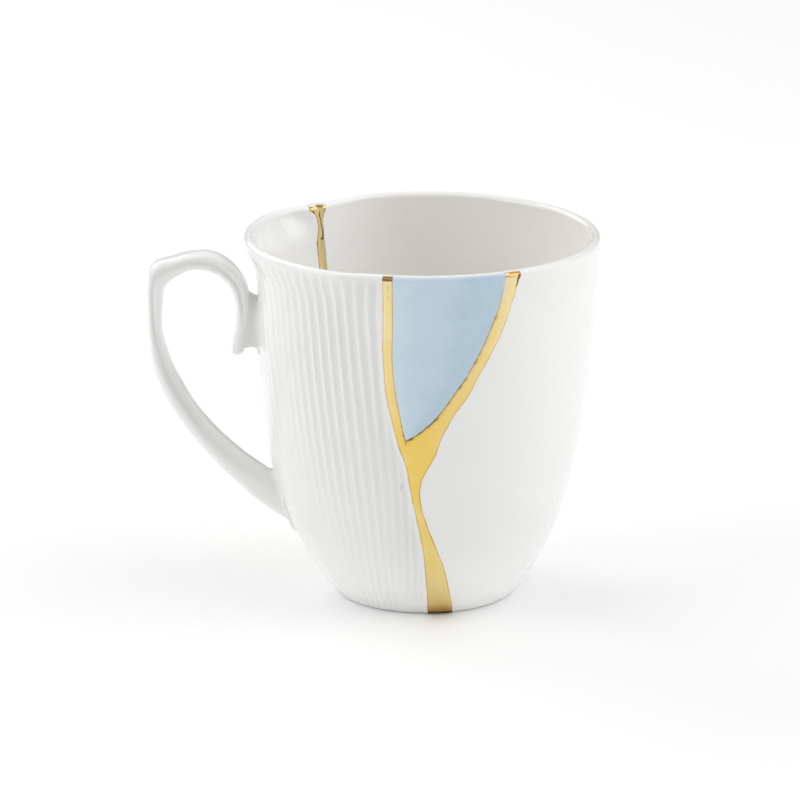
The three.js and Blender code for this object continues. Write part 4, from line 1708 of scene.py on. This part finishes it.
    def floor_line(self, face: Face, front: np.ndarray, back: np.ndarray) -> tuple[np.ndarray, np.ndarray]:
        """Straight lines across the floor from the front's end to the back's, laid on the gold's
        height over it.

        Args:
            face: the underside or the upper face.
            front: points where the front band ends.
            back: points where the back band ends.

        Returns:
            Points of shape (rows, columns, 3), and their distance from the border.
        """
        grid = between(front, back, np.linspace(0.0, 1.0, self.floor_rows + 1)).transpose(1, 0, 2)
        flat = grid.copy()
        radius = np.hypot(grid[..., 0], grid[..., 1])
        flat[..., 2] = CUP.floor_height(radius) if face is Face.INNER else CUP.foot_recess
        border = self.distance(flat, self.lines[face])
        lift = self.lift(border, flat) * (1.0 if face is Face.INNER else -1.0)
        grid[1:-1, :, 2] = (flat[..., 2] + lift)[1:-1]
        return grid, border

    def floor_band(
        self, face: Face, front: np.ndarray, back: np.ndarray
    ) -> tuple[np.ndarray, dict[str, np.ndarray]]:
        """The gold across the floor, with its marks."""
        grid, border = self.floor_line(face, front, back)
        return grid, {"border": border, "pale": self.floor_sheen}

    def build(self) -> bpy.types.Object:
        """Makes the seam in place of its solid.

        Returns:
            The piece.
        """
        self.lines = {face: self.outlines(face) for face in Face}
        sheet = Sheet()
        self.fill(sheet)
        piece = sheet.make("gold_seam_burnished", sharp=60.0)
        return dress(piece, self.node, GoldLustre().build())


def dress(piece: bpy.types.Object, node: str, material: bpy.types.Material) -> bpy.types.Object:
    """Gives a piece its finish and puts it in place of a node of the frame.

    Args:
        piece: the new piece.
        node: the node that it stands for.
        material: its finish.

    Returns:
        The piece.
    """
    piece.data.materials.append(material)
    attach(piece, ROOT)
    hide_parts(node)
    LOG.info("%s: %d faces", piece.name, len(piece.data.polygons))
    return piece


@dataclass(frozen=True)
class SoftBox:
    """A square area light that faces the mug, placed in metres."""

    name: str
    place: Colour
    size: float
    power: float

    def build(self) -> None:
        """Makes the light, which the camera doesn't see."""
        data = bpy.data.lights.new(self.name, "AREA")
        data.size = self.size
        data.energy = self.power
        lamp = bpy.data.objects.new(self.name, data)
        lamp.location = self.place
        aim = Vector((0.0, 0.0, 0.05)) - Vector(self.place)
        lamp.rotation_euler = aim.to_track_quat("-Z", "Y").to_euler()
        lamp.visible_camera = False
        bpy.context.scene.collection.objects.link(lamp)


@dataclass(frozen=True)
class Studio:
    """A white floor under a pale sky, soft boxes on three sides, and the camera."""

    camera_place: Colour = (0.0, -1201.2, 405.7)
    camera_pitch: float = 16.41
    camera_yaw: float = 0.3243
    camera_lens: float = 211.72
    floor_size: float = 8000.0
    floor_glow: float = 0.035
    sky_base: float = 0.1
    sky_top: float = 0.87
    sky_right: float = 0.32
    sky_low: float = 0.2
    boxes: tuple[SoftBox, ...] = (
        SoftBox("soft box right", (1.2, -0.15, 0.85), 1.6, 9.9),
        SoftBox("soft box left", (-1.2, -0.3, 0.75), 1.0, 7.0),
        SoftBox("soft box back", (-0.9, 0.9, 0.8), 1.0, 6.6),
    )

    def build(self) -> None:
        """Makes the floor, the sky, the lights and the camera."""
        self.floor()
        self.sky()
        self.camera()
        for box in self.boxes:
            box.build()

    def floor(self) -> None:
        """A plain white floor, with a faint cloudiness in its roughness."""
        half = self.floor_size / 2.0
        sheet = Sheet()
        sheet.add(np.array([[[x, y, 0.0] for x in (-half, half)] for y in (-half, half)]))
        floor = sheet.make("floor")
        shade = Shade("white floor")
        shade.set(base_color=(0.93, 0.93, 0.93), roughness=shade.span(shade.noise(300.0), 0.0, 1.0, 0.6, 0.8))
        shade.set(emission_color=(1.0, 1.0, 1.0), emission_strength=self.floor_glow)
        floor.data.materials.append(shade.material)

    def sky(self) -> None:
        """White light that grows from the horizon up and from left to right."""
        world = bpy.data.worlds.new("studio")
        bpy.context.scene.world = world
        world.use_nodes = True
        tree = world.node_tree
        tree.nodes.clear()
        place = tree.nodes.new("ShaderNodeTexCoord")
        apart = tree.nodes.new("ShaderNodeSeparateXYZ")
        tree.links.new(place.outputs["Generated"], apart.inputs[0])
        parts = []
        for axis, (low, high, start, end) in (
            ("Z", (self.sky_low, 1.0, self.sky_base, self.sky_base + self.sky_top)),
            ("X", (-1.0, 1.0, 0.0, self.sky_right)),
        ):
            ramp = tree.nodes.new("ShaderNodeMapRange")
            ramp.interpolation_type = "SMOOTHSTEP"
            tree.links.new(apart.outputs[axis], ramp.inputs[0])
            for socket, value in zip(ramp.inputs[1:5], (low, high, start, end)):
                socket.default_value = value
            parts.append(ramp.outputs[0])
        total = tree.nodes.new("ShaderNodeMath")
        for socket, part in zip(total.inputs, parts):
            tree.links.new(part, socket)
        background = tree.nodes.new("ShaderNodeBackground")
        tree.links.new(total.outputs[0], background.inputs["Strength"])
        output = tree.nodes.new("ShaderNodeOutputWorld")
        tree.links.new(background.outputs[0], output.inputs[0])
        bpy.context.scene.view_settings.view_transform = "Standard"

    def camera(self) -> None:
        """The photograph's view: slightly from above, a long lens."""
        data = bpy.data.cameras.new("camera")
        data.lens = self.camera_lens
        data.sensor_width = 36.0
        data.clip_end = 50.0
        camera = bpy.data.objects.new("camera", data)
        camera.location = Vector(self.camera_place) * MM
        camera.rotation_euler = (math.radians(90.0 - self.camera_pitch), 0.0, math.radians(self.camera_yaw))
        bpy.context.scene.collection.objects.link(camera)
        bpy.context.scene.camera = camera


def main() -> None:
    """Builds the shards, the seam and the studio."""
    logging.basicConfig(level=logging.INFO, format="%(message)s")
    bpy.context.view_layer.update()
    pit = Smear((-6.2, -40.3, 40.2), (0.5, 2.0, 1.7), (0.50, 0.50, 0.48), 0.45)
    # The fluted shard's lighter lining is painted light for its brightly lit inner wall.
    fluted_glaze = WhiteGlaze(
        "fluted white glaze", (0.885, 0.888, 0.87), (0.76, 0.765, 0.74), (0.95, 0.95, 0.945), smear=pit
    )
    plain_glaze = WhiteGlaze("plain white glaze", (0.89, 0.89, 0.875), (0.83, 0.83, 0.81))
    FlutedShard(
        node="fluted_shard_with_handle", slot="fluted_white_glaze",
        start=CUP.fluted_back_edge, end=CUP.fluted_edge, end_turn=360.0,
        columns=360, above=32, below=40, floor_rows=18, finish=fluted_glaze,
    ).build()
    Shard(
        node="plain_shard", slot="plain_white_glaze",
        start=CUP.plain_edge, end=CUP.plain_back_edge, columns=220, finish=plain_glaze,
    ).build()
    Shard(
        node="blue_shard", slot="pale_blue_glaze",
        start=CUP.blue_left_edge, end=CUP.blue_right_edge, columns=60, above=60, below=0, finish=BlueGlaze(),
    ).build()
    GoldSeam().build()
    Studio().build()


if __name__ == "__main__":
    main()
